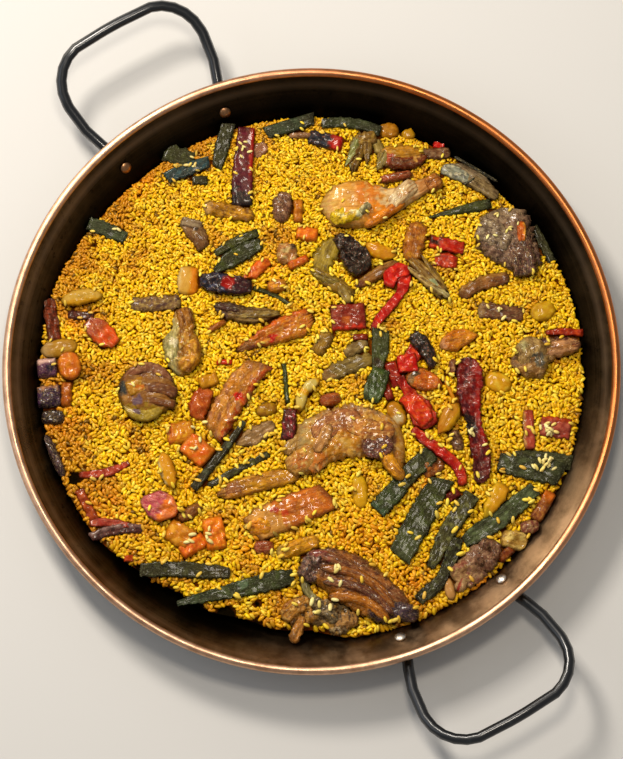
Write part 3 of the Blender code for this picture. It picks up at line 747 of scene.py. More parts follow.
square = {"round": 0.05, "soft": 0.0}  # cut straight at its ends and sides
toppings = {  # those with a node of their own: kind, colours, shape
    "flat_bean_01": ("pod", ["2c4044", ("patch", 9, 0.1, "3c5c64"), ("across", 0.2, 0.9, ("4c605c", 0.7))],
                     {"tint": (0.45, 0.62, 0.62), "hi": [0.7, 1, 1, 0.9], "lo": [-1, -1, -0.9, -0.8],
                      "cut": (-0.3, 0.2)}),
    "flat_bean_02": ("pod", ["2a2c18", ("patch", 12, 0.1, "3c3c28"), ("along", -0.3, -0.6, ("44442c", 0.8))],
                     {"hi": [0.7, 1, 1, 0.8], "lo": [-0.7, -0.9, -1, -1], "cut": (0.3, -0.2)}),
    "flat_bean_03": ("pod", ["37413a", ("patch", 12, 0.1, "4a5850"), ("along", 0.3, 0.8, "33321e")],
                     {"hi": [0.9, 1, 1, 1], "lo": [-1, -1, -1, -0.9], "cut": (-0.3, 0.3), "ragged": 0.02,
                      **square}),
    "flat_bean_04": ("pod", ["363c2c", ("patch", 14, 0.1, "4b5240")], {"hi": [0.8, 1, 1, 1], "bow": 2}),
    "flat_bean_05": ("pod", ["2c360c", ("patch", 14, 0.2, "404a18"), ("rim", 0.8, ("1c2404", 0.7))],
                     {"hi": [0.2, 0.9, 1, 0.7], "lo": [-0.4, -1, -1, -0.5], "bow": 1, **square}),
    # the pale grey-blue spot near its end is a painted highlight
    "flat_bean_06": ("pod", ["4c5230", ("patch", 9, 0.2, "6c7454"), ("along", -0.1, -0.3, ("46561c", 0.9)),
                             ("spot", 2, 0, 5, "4a3424"), ("spot", -24, 4, 4, "889084")],
                     {"hi": [0.5, 0.9, 0.9, 0.6, 0.9, 1.1, 1.1, 1.1],
                      "lo": [-0.5, -0.9, -0.9, -0.8, -0.8, -1.1, -1.1, -1.1], "bow": -2, "cut": (0, 0.2),
                      "ragged": 0.02}),
    # its grey patches are painted highlights
    "flat_bean_07": ("pod", ["342e16", ("lines", 3, "1c1608"), ("patch", 10, 0.5, "6c706c")],
                     {"hi": [1, 1, 0.9, 0.7], "lo": [-1, -1, -1, -0.4]}),
    "flat_bean_08": ("pod", ["30301a", ("patch", 10, 0.2, "4c4c34"), ("along", 0.0, 0.3, ("403806", 0.8)),
                             ("along", 0.5, 0.8, ("52432e", 0.8))],
                     {"hi": [0.5, 0.9, 1, 1, 0.9, 0.8, 0.4], "lo": [-1, -1, -0.9, -1, -1, -0.8], **square}),
    "flat_bean_09": ("pod", ["2c381a", ("patch", 16, 0.0, "445230"), ("along", -0.3, -0.9, ("4a5c58", 0.8)),
                             ("spot", 8, 3, 5, "7c908c")],
                     {"hi": [0.0, 0.3, 0.5, 0.7, 0.9, 1.1, 0.8],
                      "lo": [-0.6, -0.8, -0.9, -1, -1.1, -1.1, -0.9]}),
    "flat_bean_10": ("pod", ["3c4022", ("patch", 10, 0.1, "5c6042")],
                     {"hi": [0.3, 0.4, 0.8, 1.1, 1, 0.8], "lo": [-0.6, -0.6, -0.9, -0.8, -1, -0.9],
                      **square}),
    "flat_bean_11": ("pod", ["363e16", ("patch", 16, 0.1, "4e5a2a"), ("along", -0.35, -0.7, ("6c745e", 0.8))],
                     {"hi": [0.9, 1, 1, 1, 0.8], "lo": [-1, -1, -1, -0.9, -0.9], "cut": (0.2, -0.3),
                      **square}),
    "flat_bean_12": ("pod", ["5c5636", ("lines", 4, "38341a"), ("patch", 9, 0.3, "8a8664")],
                     {"hi": [0.4, 0.8, 1, 1, 1, 0.9], "lo": [-0.5, -0.8, -0.9, -1, -1, -1], "bow": 1}),
    # its pale grey lines are painted highlights along the ribs
    "flat_bean_13": ("pod", ["46523c", ("patch", 14, 0.1, "627058"), ("lines", 3, ("303a22", 0.8)),
                             ("lines", 4, ("98a494", 0.5))],
                     {"hi": [0.5, 1, 1, 1, 0.9, 0.6], "lo": [-0.8, -1, -1, -0.9, -0.9, -0.8], "bow": -2}),
    "flat_bean_14": ("pod", ["32321e", ("lines", 4, "1a180c"), ("patch", 8, 0.4, "74765c")],
                     {"hi": [0.7, 0.9, 0.6, 0.9, 1, 0.7], "lo": [-0.8, -1, -1, -0.6, -1, -0.8], "bow": -4,
                      "rough": 1.6}),
    "flat_bean_15": ("pod", ["404634", ("patch", 12, 0.1, "58604e"), ("rim", 0.8, ("2a2e1e", 0.6))],
                     {"hi": [0.7, 1, 1, 1], "lo": [-0.8, -1, -1, -1], "cut": (0, 0.3), **square}),
    "butter_bean_01": ("bean", ["ccac5c", ("across", 0.0, -0.7, "cc9c2c"), ("rim", 0.85, ("b08828", 0.5))],
                       {"hi": [0.7, 1, 1, 0.7], "lo": [-0.9, -1, -0.8, -0.9]}),
    "butter_bean_02": ("bean", ["e2b020", ("spot", -9, 0, 7, "d8c878"), ("spot", 8, 1, 7, "d8cc80"),
                                ("rim", 0.85, ("b07808", 0.7))],
                       {"hi": [0.9, 1, 0.8, 1, 1], "lo": [-1, -1, -0.7, -1, -1], "bow": 3}),
    "butter_bean_03": ("bean", ["c08a1c", ("across", -0.1, -0.8, "deb040"),
                                ("along", -0.3, -0.9, ("c07814", 0.8))],
                       {"hi": [0.4, 0.8, 1, 0.8], "lo": [-0.3, -1, -1.1, -0.9]}),
    # its near-white side is a painted highlight
    "butter_bean_04": ("bean", ["dca41a", ("across", -0.4, -0.9, "f0ecb8"),
                                ("across", 0.2, 0.9, ("c08408", 0.8))],
                       {"hi": [0.8, 1, 1, 0.9], "lo": [-0.8, -1, -1, -0.7]}),
    "butter_bean_05": ("bean", ["daa830", ("along", -0.3, -0.9, "9a9440"),
                                ("across", -0.2, 0.8, ("e4c050", 0.8))],
                       {"hi": [0.1, 0.7, 1, 1], "lo": [-0.4, -0.8, -1, -1], "round": 0.6}),
    "pepper_strip_01": ("strip", ["5c1426", ("patch", 5, 0.4, ("7c3444", 0.7)),
                                  ("across", -0.35, -0.75, ("b01408", 0.9)),
                                  ("along", -0.1, -0.4, ("4c1830", 0.8)), ("along", -0.55, -0.68, "10121f")],
                        {"tint": (0.62, 0.40, 0.50), "grain": 0.5,
                         "line": [(0.36, 0.0), (0.38, 0.35), (0.48, 0.7), (0.56, 1.0)],
                         "hi": [1.05, 1.15, 1.1, 1, 0.9], "lo": [-1.05, -1.1, -1, -1, -0.9], "ragged": 0.03,
                         "rough": 0.5, **square}),
    "pepper_strip_02": ("strip", ["c4281a", ("patch", 10, 0.2, "de4a2a"), ("rim", 0.8, ("8e1408", 0.6))],
                        {"line": [(0.06, 0.0), (0.3, 0.22), (0.58, 0.45), (0.8, 0.68), (0.8, 0.86),
                                  (0.42, 0.9)], "hi": [0.5, 0.9, 0.9, 0.8, 1.3, 1.6, 0.6],
                         "lo": [-0.5, -0.9, -0.9, -0.9, -1.2, -1.2, -0.4]}),
    "pepper_strip_03": ("strip", ["c0261a", ("patch", 9, 0.3, "e0562c"),
                                  ("across", 0.4, 0.9, ("e86a20", 0.7)),
                                  ("across", -0.4, -0.9, ("8a1010", 0.8))],
                        {"line": [(0.0, 1.0), (0.25, 0.8), (0.6, 0.55), (0.88, 0.28), (0.95, 0.0)],
                         "hi": [0.8, 1, 1, 1, 0.8], "lo": [-0.8, -1, -1, -1, -0.9]}),
    # its pale pink patches are painted highlights
    "pepper_strip_04": ("strip", ["801a1c", ("patch", 8, 0.0, "54182a"),
                                  ("across", 0.1, 0.8, ("b02024", 0.8)), ("patch", 5, 0.5, "a87078"),
                                  ("spot", 4, -8, 12, "16121a"), ("along", 0.35, 0.6, ("3c1420", 0.7))],
                        {"line": [(0.28, 1.0), (0.22, 0.84), (0.3, 0.6), (0.45, 0.4), (0.66, 0.18),
                                  (0.6, 0.0)], "hi": [0.8, 1.4, 1.4, 1.2, 0.9, 0.8, 1, 1, 0.9, 0.6],
                         "lo": [-0.9, -1.1, -1.2, -1.1, -0.8, -0.7, -0.8, -0.9, -0.9, -0.6], "rough": 1.5,
                         "ragged": 0.1}),
    "pepper_piece_01": ("strip", ["0c1020", ("patch", 6, 0.5, "34445c"), ("along", 0.15, 0.5, "34101e"),
                                  ("spot", 2, 1, 6.5, "b0242c"), ("along", 0.75, 0.95, "100c10")],
                        {"hi": [0.8, 1, 1, 0.9, 0.5], "lo": [-0.5, -1, -1, -1, -0.7], "rise": 5, "grain": 0.6,
                         "tint": (0.6, 0.5, 0.6)}),
    "pepper_piece_02": ("strip", ["8c2c20", ("patch", 5, 0.3, ("a85c4c", 0.7)),
                                  ("across", -0.7, -0.9, "d4480c"), ("spot", -2, -3, 4, "d07c1c")],
                        {"round": 0.1, "rise": 3.2, "rough": 0.45, "ragged": 0.03}),
    "pepper_piece_03": ("strip", ["c43c1a", ("patch", 9, 0.2, "dc6028"),
                                  ("along", -0.3, -0.8, ("a02818", 0.8)), ("rim", 0.8, ("9a2208", 0.6))],
                        {"hi": [0.4, 0.3, 0.6, 1, 1.1, 0.8], "lo": [-0.5, -0.4, -0.5, -0.9, -1, -0.5]}),
    "pepper_piece_04": ("chunk", ["a85a48", ("along", -0.3, 0.3, "e06404"),
                                  ("patch", 6, 0.5, ("c07c5c", 0.8))],
                        {"tint": (0.78, 0.66, 0.5), "hi": [0.5, 1.15, 1.1, 0.6],
                         "lo": [-0.7, -1.1, -1.1, -0.5], "rise": 2.6, "round": 0.1, "soft": 0.3}),
    "pepper_piece_05": ("chunk", ["b4586c", ("along", 0.0, 0.2, "dc8010"), ("lines", 2, ("e0a8a4", 0.5)),
                                  ("along", 0.8, 1.0, ("c86018", 0.8))],
                        {"tint": (0.9, 0.76, 0.62), "hi": [0.1, 1.0, 1.1, 0.4], "lo": [-0.4, -1, -1.1, -0.2],
                         "round": 0.05, "soft": 0.1, "rise": 3.2, "ragged": 0.03, "grain": 1.3}),
    # its grey patches are a painted sheen on the black skin
    "pepper_piece_06": ("strip", ["131519", ("patch", 5, 0.3, "4c4e48"),
                                  ("along", 0.2, 0.7, ("34342c", 0.7))],
                        {"hi": [0.4, 0.8, 0.9, 1, 0.7], "lo": [-0.4, -0.5, -0.8, -1, -0.8], "rough": 1.8,
                         "rise": 5}),
    "pepper_piece_07": ("strip", ["06080c", ("patch", 6, 0.7, "4c5464"),
                                  ("along", 0.5, 0.9, ("24161c", 0.8))],
                        {"hi": [0.7, 1, 1, 0.9, 0.5], "lo": [-0.9, -1.1, -1, -0.7, -0.3], "bow": 2,
                         "rise": 4.5}),
    "pepper_piece_08": ("chunk", ["c47000", ("patch", 7, 0.2, "d08408"), ("rim", 0.8, ("a45804", 0.6))],
                        {"tint": (0.84, 0.78, 0.2), "hi": [0.9, 1.2, 1.2, 0.9], "lo": [-1, -1.2, -1.2, -0.9],
                         "rise": 4, "round": 0.7, "ragged": 0.04}),
    "artichoke_01": ("leafy", ["866a34", ("lines", 3, "5c401c"), ("across", 0.3, 0.8, ("a4b098", 0.8)),
                               ("along", 0.3, 0.8, ("8c7c48", 0.8))],
                     {"hi": [0.6, 0.9, 1, 1, 0.8], "lo": [-0.3, -0.4, -0.6, -1, -1], "fringe": 3}),
    "artichoke_02": ("leafy", ["b08038", ("across", 0.0, 0.5, "c8922e"), ("across", -0.1, -0.4, "6c2e1a"),
                               ("spot", -12, 0, 5, "b04c3c"), ("along", -0.6, -0.9, ("a49060", 0.8))],
                     {"hi": [0.6, 1, 1, 0.9, 0.4], "lo": [-0.3, -0.9, -1, -0.7, 0.0], "rough": 0.7}),
    "artichoke_03": ("leafy", ["98683e", ("lines", 3, "744422"), ("across", 0.3, 0.9, ("b89058", 0.8)),
                               ("along", -0.6, -0.9, ("6a3c34", 0.8))],
                     {"hi": [0.4, 0.8, 1, 0.8], "lo": [-0.8, -1, -1, -0.7], "rough": 0.6}),
    "artichoke_04": ("leafy", ["947638", ("along", -0.2, -0.7, "ac9440"), ("lines", 3, ("6e5220", 0.8))],
                     {"hi": [0.5, 0.8, 1, 0.8], "lo": [-0.8, -1, -0.9, -0.5], "fringe": 2}),
    "artichoke_05": ("leafy", ["8c6834", ("lines", 3, "c8b078"), ("lines", 4, ("54321a", 0.7)),
                               ("spot", 8, -2, 5, "a4b49c"), ("spot", 14, -4, 4, "a89c34"),
                               ("along", 0.8, 0.95, "3a3430")],
                     {"hi": [0.2, 0.9, 1, 1, 0.7], "lo": [-0.3, -0.8, -1, -1, -0.6], "fringe": 2}),
    "artichoke_06": ("leafy", ["6e5230", ("lines", 3, "98805a"), ("along", -0.4, -0.7, ("4c3040", 0.9)),
                               ("lines", 5, ("3c2616", 0.8))],
                     {"hi": [0.8, 1, 0.8, 0.7, 0.3], "lo": [-0.3, -0.8, -1, -0.9, -0.4], "bow": -2}),
    "artichoke_07": ("leafy", ["7c6c60", ("patch", 8, 0.2, "5c5048"), ("lines", 3, ("a89c8c", 0.7)),
                               ("lines", 5, ("40342c", 0.8))],
                     {"hi": [0.5, 1.2, 1.3, 1.0, 0.3], "lo": [-0.5, -1.1, -1.3, -1.1, -0.6], "fringe": 1,
                      "rise": 3, "rough": 0.7}),
    "artichoke_08": ("leafy", ["7c5840", ("patch", 8, 0.2, "8c6c50"), ("spot", -4, 3, 2.5, "2c201c"),
                               ("along", -0.4, -0.8, ("a89078", 0.8))],
                     {"hi": [0.2, 1, 1, 0.5], "lo": [-0.9, -0.9, -0.8, -0.8], "round": 0.1, "soft": 0,
                      "rough": 0.6}),
    "artichoke_heart": ("leafy", ["8c6038", ("patch", 12, 0.2, "a47c50"), ("across", 0.4, 0.65, "785040"),
                                  ("across", -0.45, -0.75, "9c8038"), ("spot", -22, 1, 6.5, "2a323c"),
                                  ("spot", -8, -10, 5, "6c5878"), ("rim", 0.85, ("50341f", 0.7))],
                        {"round": 1.0, "rise": 11, "rough": 0.8, "hi": [1, 1, 1], "lo": [-1, -1, -1],
                         "grain": 0.6}),
    "chicken_01": ("meat", ["b08238", ("patch", 12, 0.2, "8a5c22"), ("across", -0.1, -0.5, ("b8bc98", 0.85)),
                            ("along", -0.5, -0.8, ("a0743a", 0.8)), ("patch", 5, 0.6, "d8c890")],
                   {"hi": [0.3, 0.5, 0.9, 1, 0.5], "lo": [-0.5, -0.5, -0.9, -0.9, -0.6], "rough": 1.2}),
    "chicken_02": ("meat", ["bc8040", ("lines", 3, "d09c5c"), ("across", -0.4, -0.8, "b85410"),
                            ("patch", 10, 0.3, "b07c60"), ("spot", 2, -3, 4, "d83c24")],
                   {"hi": [0.6, 0.9, 1, 1, 0.7], "lo": [-1, -1, -0.9, -0.8, -1], "round": 0.15,
                    "cut": (0.3, -0.3), "soft": 0}),
    "chicken_03": ("meat", ["b0641c", ("lines", 4, "cc8834"), ("spot", -4, -3, 4, "cc2c1c"),
                            ("patch", 8, 0.4, "c48c48"), ("along", -0.3, -0.7, ("906440", 0.9)),
                            ("across", 0.4, 0.9, ("d0601c", 0.7)), ("spot", -24, -5, 4, "7c4448")],
                   {"hi": [0.2, 0.5, 0.8, 1, 1, 0.8], "lo": [-0.2, -0.4, -0.7, -1, -1.2, -0.6], "round": 0.3,
                    "fringe": 1.2, "ragged": 0.05}),
    "chicken_04": ("meat", ["b4803c", ("patch", 16, 0.1, "c8a05c"), ("spot", 0, 18, 13, ("9c5c44", 0.8)),
                            ("spot", 25, -5, 17, "502c34"), ("spot", -33, -18, 12, ("c46c3c", 0.7)),
                            ("patch", 8, 0.5, ("905838", 0.6)), ("patch", 6, 0.5, ("d8c098", 0.7)),
                            ("across", 0.7, 0.95, ("a89484", 0.8)), ("along", -0.6, -0.9, ("a8a07c", 0.7)),
                            ("rim", 0.88, ("d0984c", 0.6))],
                   {"hi": [0.5, 0.75, 0.9, 1, 0.95, 0.7, 0.3],
                    "lo": [-0.9, -0.95, -0.6, -0.5, -0.5, -0.7, -0.95], "round": 0.25, "rough": 0.7,
                    "grain": 0.6}),
    "chicken_05": ("meat", ["c0701c", ("patch", 12, 0.2, "cc842c"), ("lines", 3, ("a05c18", 0.6)),
                            ("along", -0.15, -0.35, "cc9c60"), ("spot", -10, 6, 4, "b0403c"),
                            ("spot", -5, 0, 3, "c0502c"), ("rim", 0.85, ("743808", 0.7))],
                   {"hi": [0.6, 0.95, 1, 1, 1, 0.85], "lo": [-1, -1, -1, -0.95, -0.9, -0.8],
                    "cut": (-0.35, -0.35), "round": 0.1, "soft": 0.1, "rise": 5, "rough": 0.35,
                    "ragged": 0.03, "grain": 0.8}),
    "chicken_06": ("meat", ["a87c48", ("along", -0.2, 0.1, "8c8070"), ("patch", 7, 0.2, "c8a468"),
                            ("patch", 5, 0.3, "4a3424"), ("along", -0.6, -0.9, ("c07c3c", 0.8))],
                   {"hi": [0.5, 0.9, 0.8, 1, 0.9, 0.6], "lo": [-0.6, -1.1, -0.8, -0.7, -1.2, -1],
                    "rough": 1.6, "ragged": 0.12}),
    "chicken_07": ("meat", ["9c7850", ("patch", 8, 0.1, "b89c78"), ("lines", 5, ("6c4c34", 0.6)),
                            ("across", 0.55, 0.85, "46283a"), ("spot", -2, -4, 7, "5c5c58"),
                            ("spot", -16, 8, 6, "a4a88c")],
                   {"hi": [0.5, 0.95, 1, 0.9, 0.8, 0.8], "lo": [-0.4, -1, -1.1, -0.4, -0.05, 0.0],
                    "round": 0.5}),
    "rabbit_01": ("meat", ["745c58", ("lines", 3, "48383c"), ("patch", 7, 0.2, "94807c"),
                           ("along", -0.4, -0.8, ("8c8078", 0.8)), ("along", 0.4, 0.8, ("4c343c", 0.8))],
                  {"hi": [0.4, 1.1, 1.05, 0.95, 0.9, 0.75], "lo": [-0.5, -0.8, -1.1, -0.85, -0.5, -0.15],
                   "round": 0.12, "soft": 0.3, "rough": 0.8}),
    "rabbit_02": ("meat", ["7c5038", ("lines", 5, "9c6840"), ("patch", 12, 0.3, "5c3428"),
                           ("along", -0.5, -0.8, ("54383c", 0.9)), ("across", -0.45, -0.75, ("b07838", 0.8)),
                           ("spot", 30, -14, 13, "30223c"), ("spot", -25, 8, 8, "843840")],
                  {"hi": [0.5, 0.9, 1, 0.9, 0.7, 0.4], "lo": [-0.6, -0.8, -0.9, -1, -1, -0.6], "rough": 0.8,
                   "round": 0.5, "ragged": 0.04}),
    "rabbit_03": ("meat", ["785a54", ("along", -0.15, -0.3, ("b09880", 0.8)),
                           ("along", -0.35, -0.5, ("84444c", 0.8)), ("along", -0.6, -0.75, "c0ac8c"),
                           ("patch", 6, 0.3, "9c8078")],
                  {"hi": [0.8, 1, 1, 0.7], "lo": [-0.8, -1, -0.9, -0.6], "round": 0.4, "rough": 1.1}),
    "drumstick": ("meat", ["cc9c5c", ("along", -0.45, -0.85, "d8ba7c"), ("spot", -8, 8, 14, ("cc7440", 0.7)),
                           ("spot", -2, -14, 13, "dc8c30"), ("patch", 7, 0.2, ("dcb484", 0.8)),
                           ("along", 0.0, 0.2, ("dcccb4", 0.9)), ("lines", 3, ("b47840", 0.5)),
                           ("along", 0.5, 0.75, ("b07c50", 0.9))],
                  {"line": [(-0.05, 0.34), (0.30, 0.38), (0.64, 0.50), (1.0, 0.88)],
                   "hi": [0.7, 1.0, 1.05, 1.0, 0.75, 0.5, 0.4, 0.38, 0.42],
                   "lo": [-0.7, -1.0, -1.0, -1.0, -0.85, -0.55, -0.42, -0.38, -0.42], "rough": 0.5,
                   "grain": 0.5, "ragged": 0.02}),
}
blade = {  # a single leaf
    "hi": [0.1, 0.7, 1, 1, 0.8], "lo": [-0.1, -0.7, -1, -1, -0.8], "rise": 2.2, "drop": 3.0, "ragged": 0.14,
}
parts = {  # dx, dy in mm, lift, turn from the topping's own heading, length, width, colours, shape
    "artichoke_01": [
        (-5, 0, 0.5, -14, 34, 8, ["9ca878", ("lines", 3, "6c7040"), ("across", -0.2, -0.7, "7c5c34")], blade),
        (7, 2, 0.0, 13, 30, 8, ["8c7040", ("lines", 3, "54381c")], blade),
        (6, 12, 1.0, -60, 20, 13, ["8c6c3c", ("lines", 2, "64481f"), ("patch", 6, 0.3, "a88c50")], {}),
    ],
    "artichoke_02": [
        (6, -3, 1.4, 2, 38, 12, ["70301a", ("patch", 7, 0.2, "8c4a24"), ("lines", 3, ("4c1c10", 0.6)),
                                 ("spot", 8, 2, 3, "e0b070")],
         {"hi": [0.5, 0.9, 1, 0.8, 0.3], "lo": [-0.4, -1, -1, -0.9, -0.3], "bow": -3, "rise": 4}),
        (-17, -3, 0.8, 60, 22, 9, ["a0905c", ("lines", 2, "6c5830"), ("lines", 3, ("c8c090", 0.5))], blade),
    ],
    "artichoke_04": [
        (10, -9, 0.6, -20, 24, 10, ["a08a50", ("lines", 2, "705424"), ("lines", 3, ("c0b078", 0.5))], blade),
        (-6, 3, 0.8, 14, 28, 8, ["8c7c40", ("lines", 3, "64501c")], blade),
    ],
    "artichoke_05": [
        (-4, -3, 0.7, 9, 44, 7, ["b8a070", ("lines", 2, "6c4c28"), ("lines", 3, ("dccc9c", 0.6))], blade),
        (5, 4, 0.4, -8, 42, 6, ["9c8048", ("lines", 2, "5c3c1c")], blade),
        (9, -13, 1.0, 16, 24, 6, ["ccc49c", ("lines", 2, "7c6440")], blade),
    ],
    "artichoke_06": [
        (10, -3, 0.9, 8, 42, 7, ["8c7444", ("lines", 2, "4c3418"), ("lines", 3, ("b0a070", 0.6))], blade),
        (-16, 4, 0.8, -4, 26, 8, ["4c3034", ("lines", 3, "30201c")], blade),
    ],
    "artichoke_07": [
        # the near-white patches on this leaf are painted highlights
        (-13, 4, 0.8, 6, 30, 13, ["9ca4a4", ("lines", 2, "686c74"), ("patch", 5, 0.4, "dcdcd4")],
         {"hi": [0.6, 1, 0.9, 0.3], "rise": 2.4}),
        (9, -8, 0.8, -4, 36, 12, ["86745c", ("lines", 2, "54402c"), ("lines", 3, ("b0a080", 0.5))],
         {"rise": 2.2, "hi": [0.3, 1, 1, 0.7]}),
        (4, 8, 1.2, -2, 46, 3, ["202428"], {"rise": 1.6}),
        (-2, -4, 1.4, 60, 12, 2, ["283030"], {"rise": 1.4}),
    ],
    "artichoke_08": [
        (-4, 9, 0.8, 40, 20, 10, ["a09084", ("lines", 3, "6c5448")], {"rise": 3}),
    ],
    "artichoke_heart": [
        (1, 15, 1.8, 0, 45, 12, ["86584a", ("patch", 6, 0.3, "a8806c"),
                                 ("across", -0.4, -0.8, ("5c3830", 0.8))],
         {"hi": [0.3, 0.9, 1, 0.9, 0.3], "lo": [-0.3, -0.9, -1, -0.9, -0.3], "bow": 6, "rise": 5,
          "grain": 0.6}),
        (11, 0, 2.2, -5, 33, 12, ["6c4030", ("patch", 5, 0.3, "8c6044"),
                                  ("across", 0.6, 0.9, ("b08858", 0.8))],
         {"bow": 2, "rise": 5, "grain": 0.6}),
        (13, -11, 1.4, -8, 27, 9, ["70442c", ("across", 0.5, 0.9, ("a88050", 0.8))],
         {"rise": 5, "grain": 0.6}),
        (-9, 3, 3.0, 25, 19, 15, ["b4843c", ("spot", 2, -3, 3.5, "c4702c"), ("patch", 4, 0.4, "d8b070")],
         {"rise": 4, "grain": 0.6}),
        (-2, -19, 0.8, 3, 38, 11, ["a08c44", ("patch", 5, 0.3, "bca860"), ("spot", -8, 3, 4, "74627c")],
         {"bow": -5, "hi": [0.3, 0.9, 1, 0.9, 0.3], "lo": [-0.3, -0.9, -1, -0.9, -0.3], "rise": 4,
          "grain": 0.6}),
    ],
    "chicken_01": [
        # the near-white spots on this lobe are painted highlights
        (-9, -6, 1.0, 4, 30, 17, ["b4b48c", ("patch", 5, 0.2, "8c9070"), ("spot", -5, 2, 4, "ecece0"),
                                  ("spot", 6, -2, 3, "e8e8c8")],
         {"hi": [0.5, 1, 0.9, 0.6], "lo": [-0.6, -1, -0.8, -0.3], "rise": 8}),
        (6, -12, 1.0, -16, 32, 17, ["b88434", ("lines", 4, "8c5a20"), ("patch", 6, 0.3, "dcb05c")],
         {"rise": 8, "bow": 3}),
        (3, 20, 0.0, 8, 24, 16, ["9c6c30", ("lines", 3, "70441c")], {"rise": 6}),
    ],
    "chicken_04": [
        (-41, -18, -1.0, 30, 34, 22, ["c09458", ("spot", -4, 0, 7, ("c46c40", 0.7)),
                                      ("lines", 3, ("a87848", 0.6)), ("patch", 5, 0.4, "d4b884")],
         {"rise": 7, "rough": 0.7}),
        (-12, 12, 3.0, 20, 46, 22, ["a87050", ("lines", 3, ("7c4834", 0.7)), ("patch", 6, 0.3, "c49870")],
         {"rise": 2.5, "bow": 3, "rough": 0.3}),
        (18, 10, 3.4, -16, 44, 20, ["b8804c", ("lines", 3, ("7c4028", 0.7)), ("patch", 5, 0.4, "dcb884")],
         {"rise": 2.5, "bow": -3, "rough": 0.3}),
        (36, -16, 0.4, -70, 46, 13, ["dca44c", ("lines", 3, "a06c2c")], {"rise": 5, "bow": -3, "rough": 0.6}),
        (25, -7, 3.6, 10, 28, 22, ["4c2834", ("patch", 5, 0.2, "7c4c4c"), ("rim", 0.85, ("8c5440", 0.7))],
         {"rise": 1.6, "round": 1.0, "rough": 0.4}),
        (-24, 0, 3.0, 60, 28, 11, ["c09468", ("lines", 3, "a07854")], {"rise": 1.0, "rough": 0.3}),
    ],
    "chicken_05": [
        (-26, -13, -0.6, -22, 22, 18, ["d08c28", ("lines", 3, "e8b04c")], {"rise": 6}),
    ],
    "chicken_06": [
        (-20, 4, 1.2, 50, 30, 14, ["b8884c", ("lines", 3, "7c5428"), ("patch", 5, 0.4, "d8b880")],
         {"rise": 6, "ragged": 0.16}),
        (-18, -14, 0.6, 80, 26, 11, ["c08c54", ("lines", 3, "845c34")], {"rise": 5, "ragged": 0.16}),
        (6, 2, 1.4, -30, 30, 13, ["6c6458", ("lines", 3, "3c342c"), ("patch", 5, 0.4, "a09484")],
         {"rise": 6, "ragged": 0.16}),
        (24, -6, 1.0, 20, 24, 16, ["a8845c", ("patch", 5, 0.2, "54443c")], {"rise": 6, "ragged": 0.16}),
    ],
    "chicken_07": [
        (-9, 1, 1.0, 80, 34, 32, ["94805c", ("patch", 7, 0.1, "b49c74"), ("spot", -6, -4, 7, "505458"),
                                  ("spot", 8, 8, 5, "b0b090"), ("lines", 4, ("705434", 0.6))],
         {"rise": 8, "hi": [0.5, 0.9, 1, 0.7], "lo": [-0.6, -1, -0.9, -0.5]}),
        (18, 8, 0.6, -4, 34, 19, ["a87c58", ("lines", 3, "6c4038"), ("lines", 5, ("c8a088", 0.7)),
                                  ("across", 0.5, 0.8, "4c2434")],
         {"rise": 7, "hi": [0.8, 1, 0.9, 0.7], "lo": [-1, -0.9, -0.8, -0.6]}),
    ],
    "rabbit_01": [
        (-12, 6, 1.6, 40, 34, 24, ["887c78", ("lines", 3, "544848"), ("patch", 5, 0.3, "b0a8a0")],
         {"rise": 5, "round": 0.3, "grain": 1.3}),
        (12, -12, 1.4, -14, 40, 24, ["543c40", ("lines", 3, "382428"), ("patch", 6, 0.2, "745450")],
         {"rise": 5, "round": 0.3, "grain": 1.3}),
        (12, 8, 3.6, -25, 20, 9, ["c46830", ("across", 0.3, 0.8, "e8b060"), ("rim", 0.8, ("742c14", 0.8))],
         {"rise": 4, "ragged": 0.03}),
    ],
    "rabbit_02": [
        (-40, 16, 2.0, 88, 30, 22, ["5c444c", ("patch", 4, 0.1, "241820"), ("patch", 5, 0.4, "8c7478")],
         {"rise": 8, "rough": 1.6}),
        (-12, 12, 4.0, -6, 70, 12, ["80543c", ("lines", 3, "5c3028"), ("along", -0.4, -0.8, ("883c4c", 0.8))],
         {"rise": 6, "bow": 5, "rough": 0.5, "ragged": 0.03}),
        (2, 1, 4.4, 0, 76, 10, ["9c6434", ("lines", 3, "70402c")],
         {"rise": 6, "bow": 6, "rough": 0.5, "ragged": 0.03}),
        (2, -9, 3.0, 3, 70, 9, ["5c3834", ("lines", 3, "7c4c38")],
         {"rise": 6, "bow": 5, "rough": 0.5, "ragged": 0.03}),
        (2, -18, 1.0, 6, 58, 11, ["b07434", ("lines", 3, "845028")], {"rise": 7, "bow": 4, "rough": 0.6}),
        (38, -24, 1.6, 12, 32, 17, ["33283f", ("patch", 5, 0.3, "54445c")], {"rise": 8}),
    ],
    "rabbit_03": [
        (10, 8, 1.0, 20, 30, 22, ["6c4c48", ("patch", 4, 0.2, "8c7068"), ("patch", 5, 0.4, "3c2424")],
         {"rise": 7, "rough": 1.8}),
        (-13, -7, 0.8, -20, 20, 18, ["b09078", ("across", 0.1, 0.4, ("84484c", 0.8)),
                                     ("patch", 5, 0.3, "c8b090")], {"rise": 6}),
    ],
    "drumstick": [
        # the near-white spots on this fat lump are painted glints of light
        (-32, -19, 1.5, 4, 32, 15, ["e8cc54", ("patch", 4, 0.3, "b89c38"), ("spot", 5, 3, 3.4, "f8f4d0"),
                                    ("spot", -6, 0, 1.8, "f0ecb0"), ("spot", 10, -3, 3, "e8f0d0")],
         {"rise": 3.4, "rough": 1.4, "ragged": 0.12, "tint": (1, 0.95, 0.75)}),
        (-16, -14, 3.0, 30, 13, 8, ["8c8c74", ("patch", 4, 0.2, "e4e4cc")], {"rise": 7}),
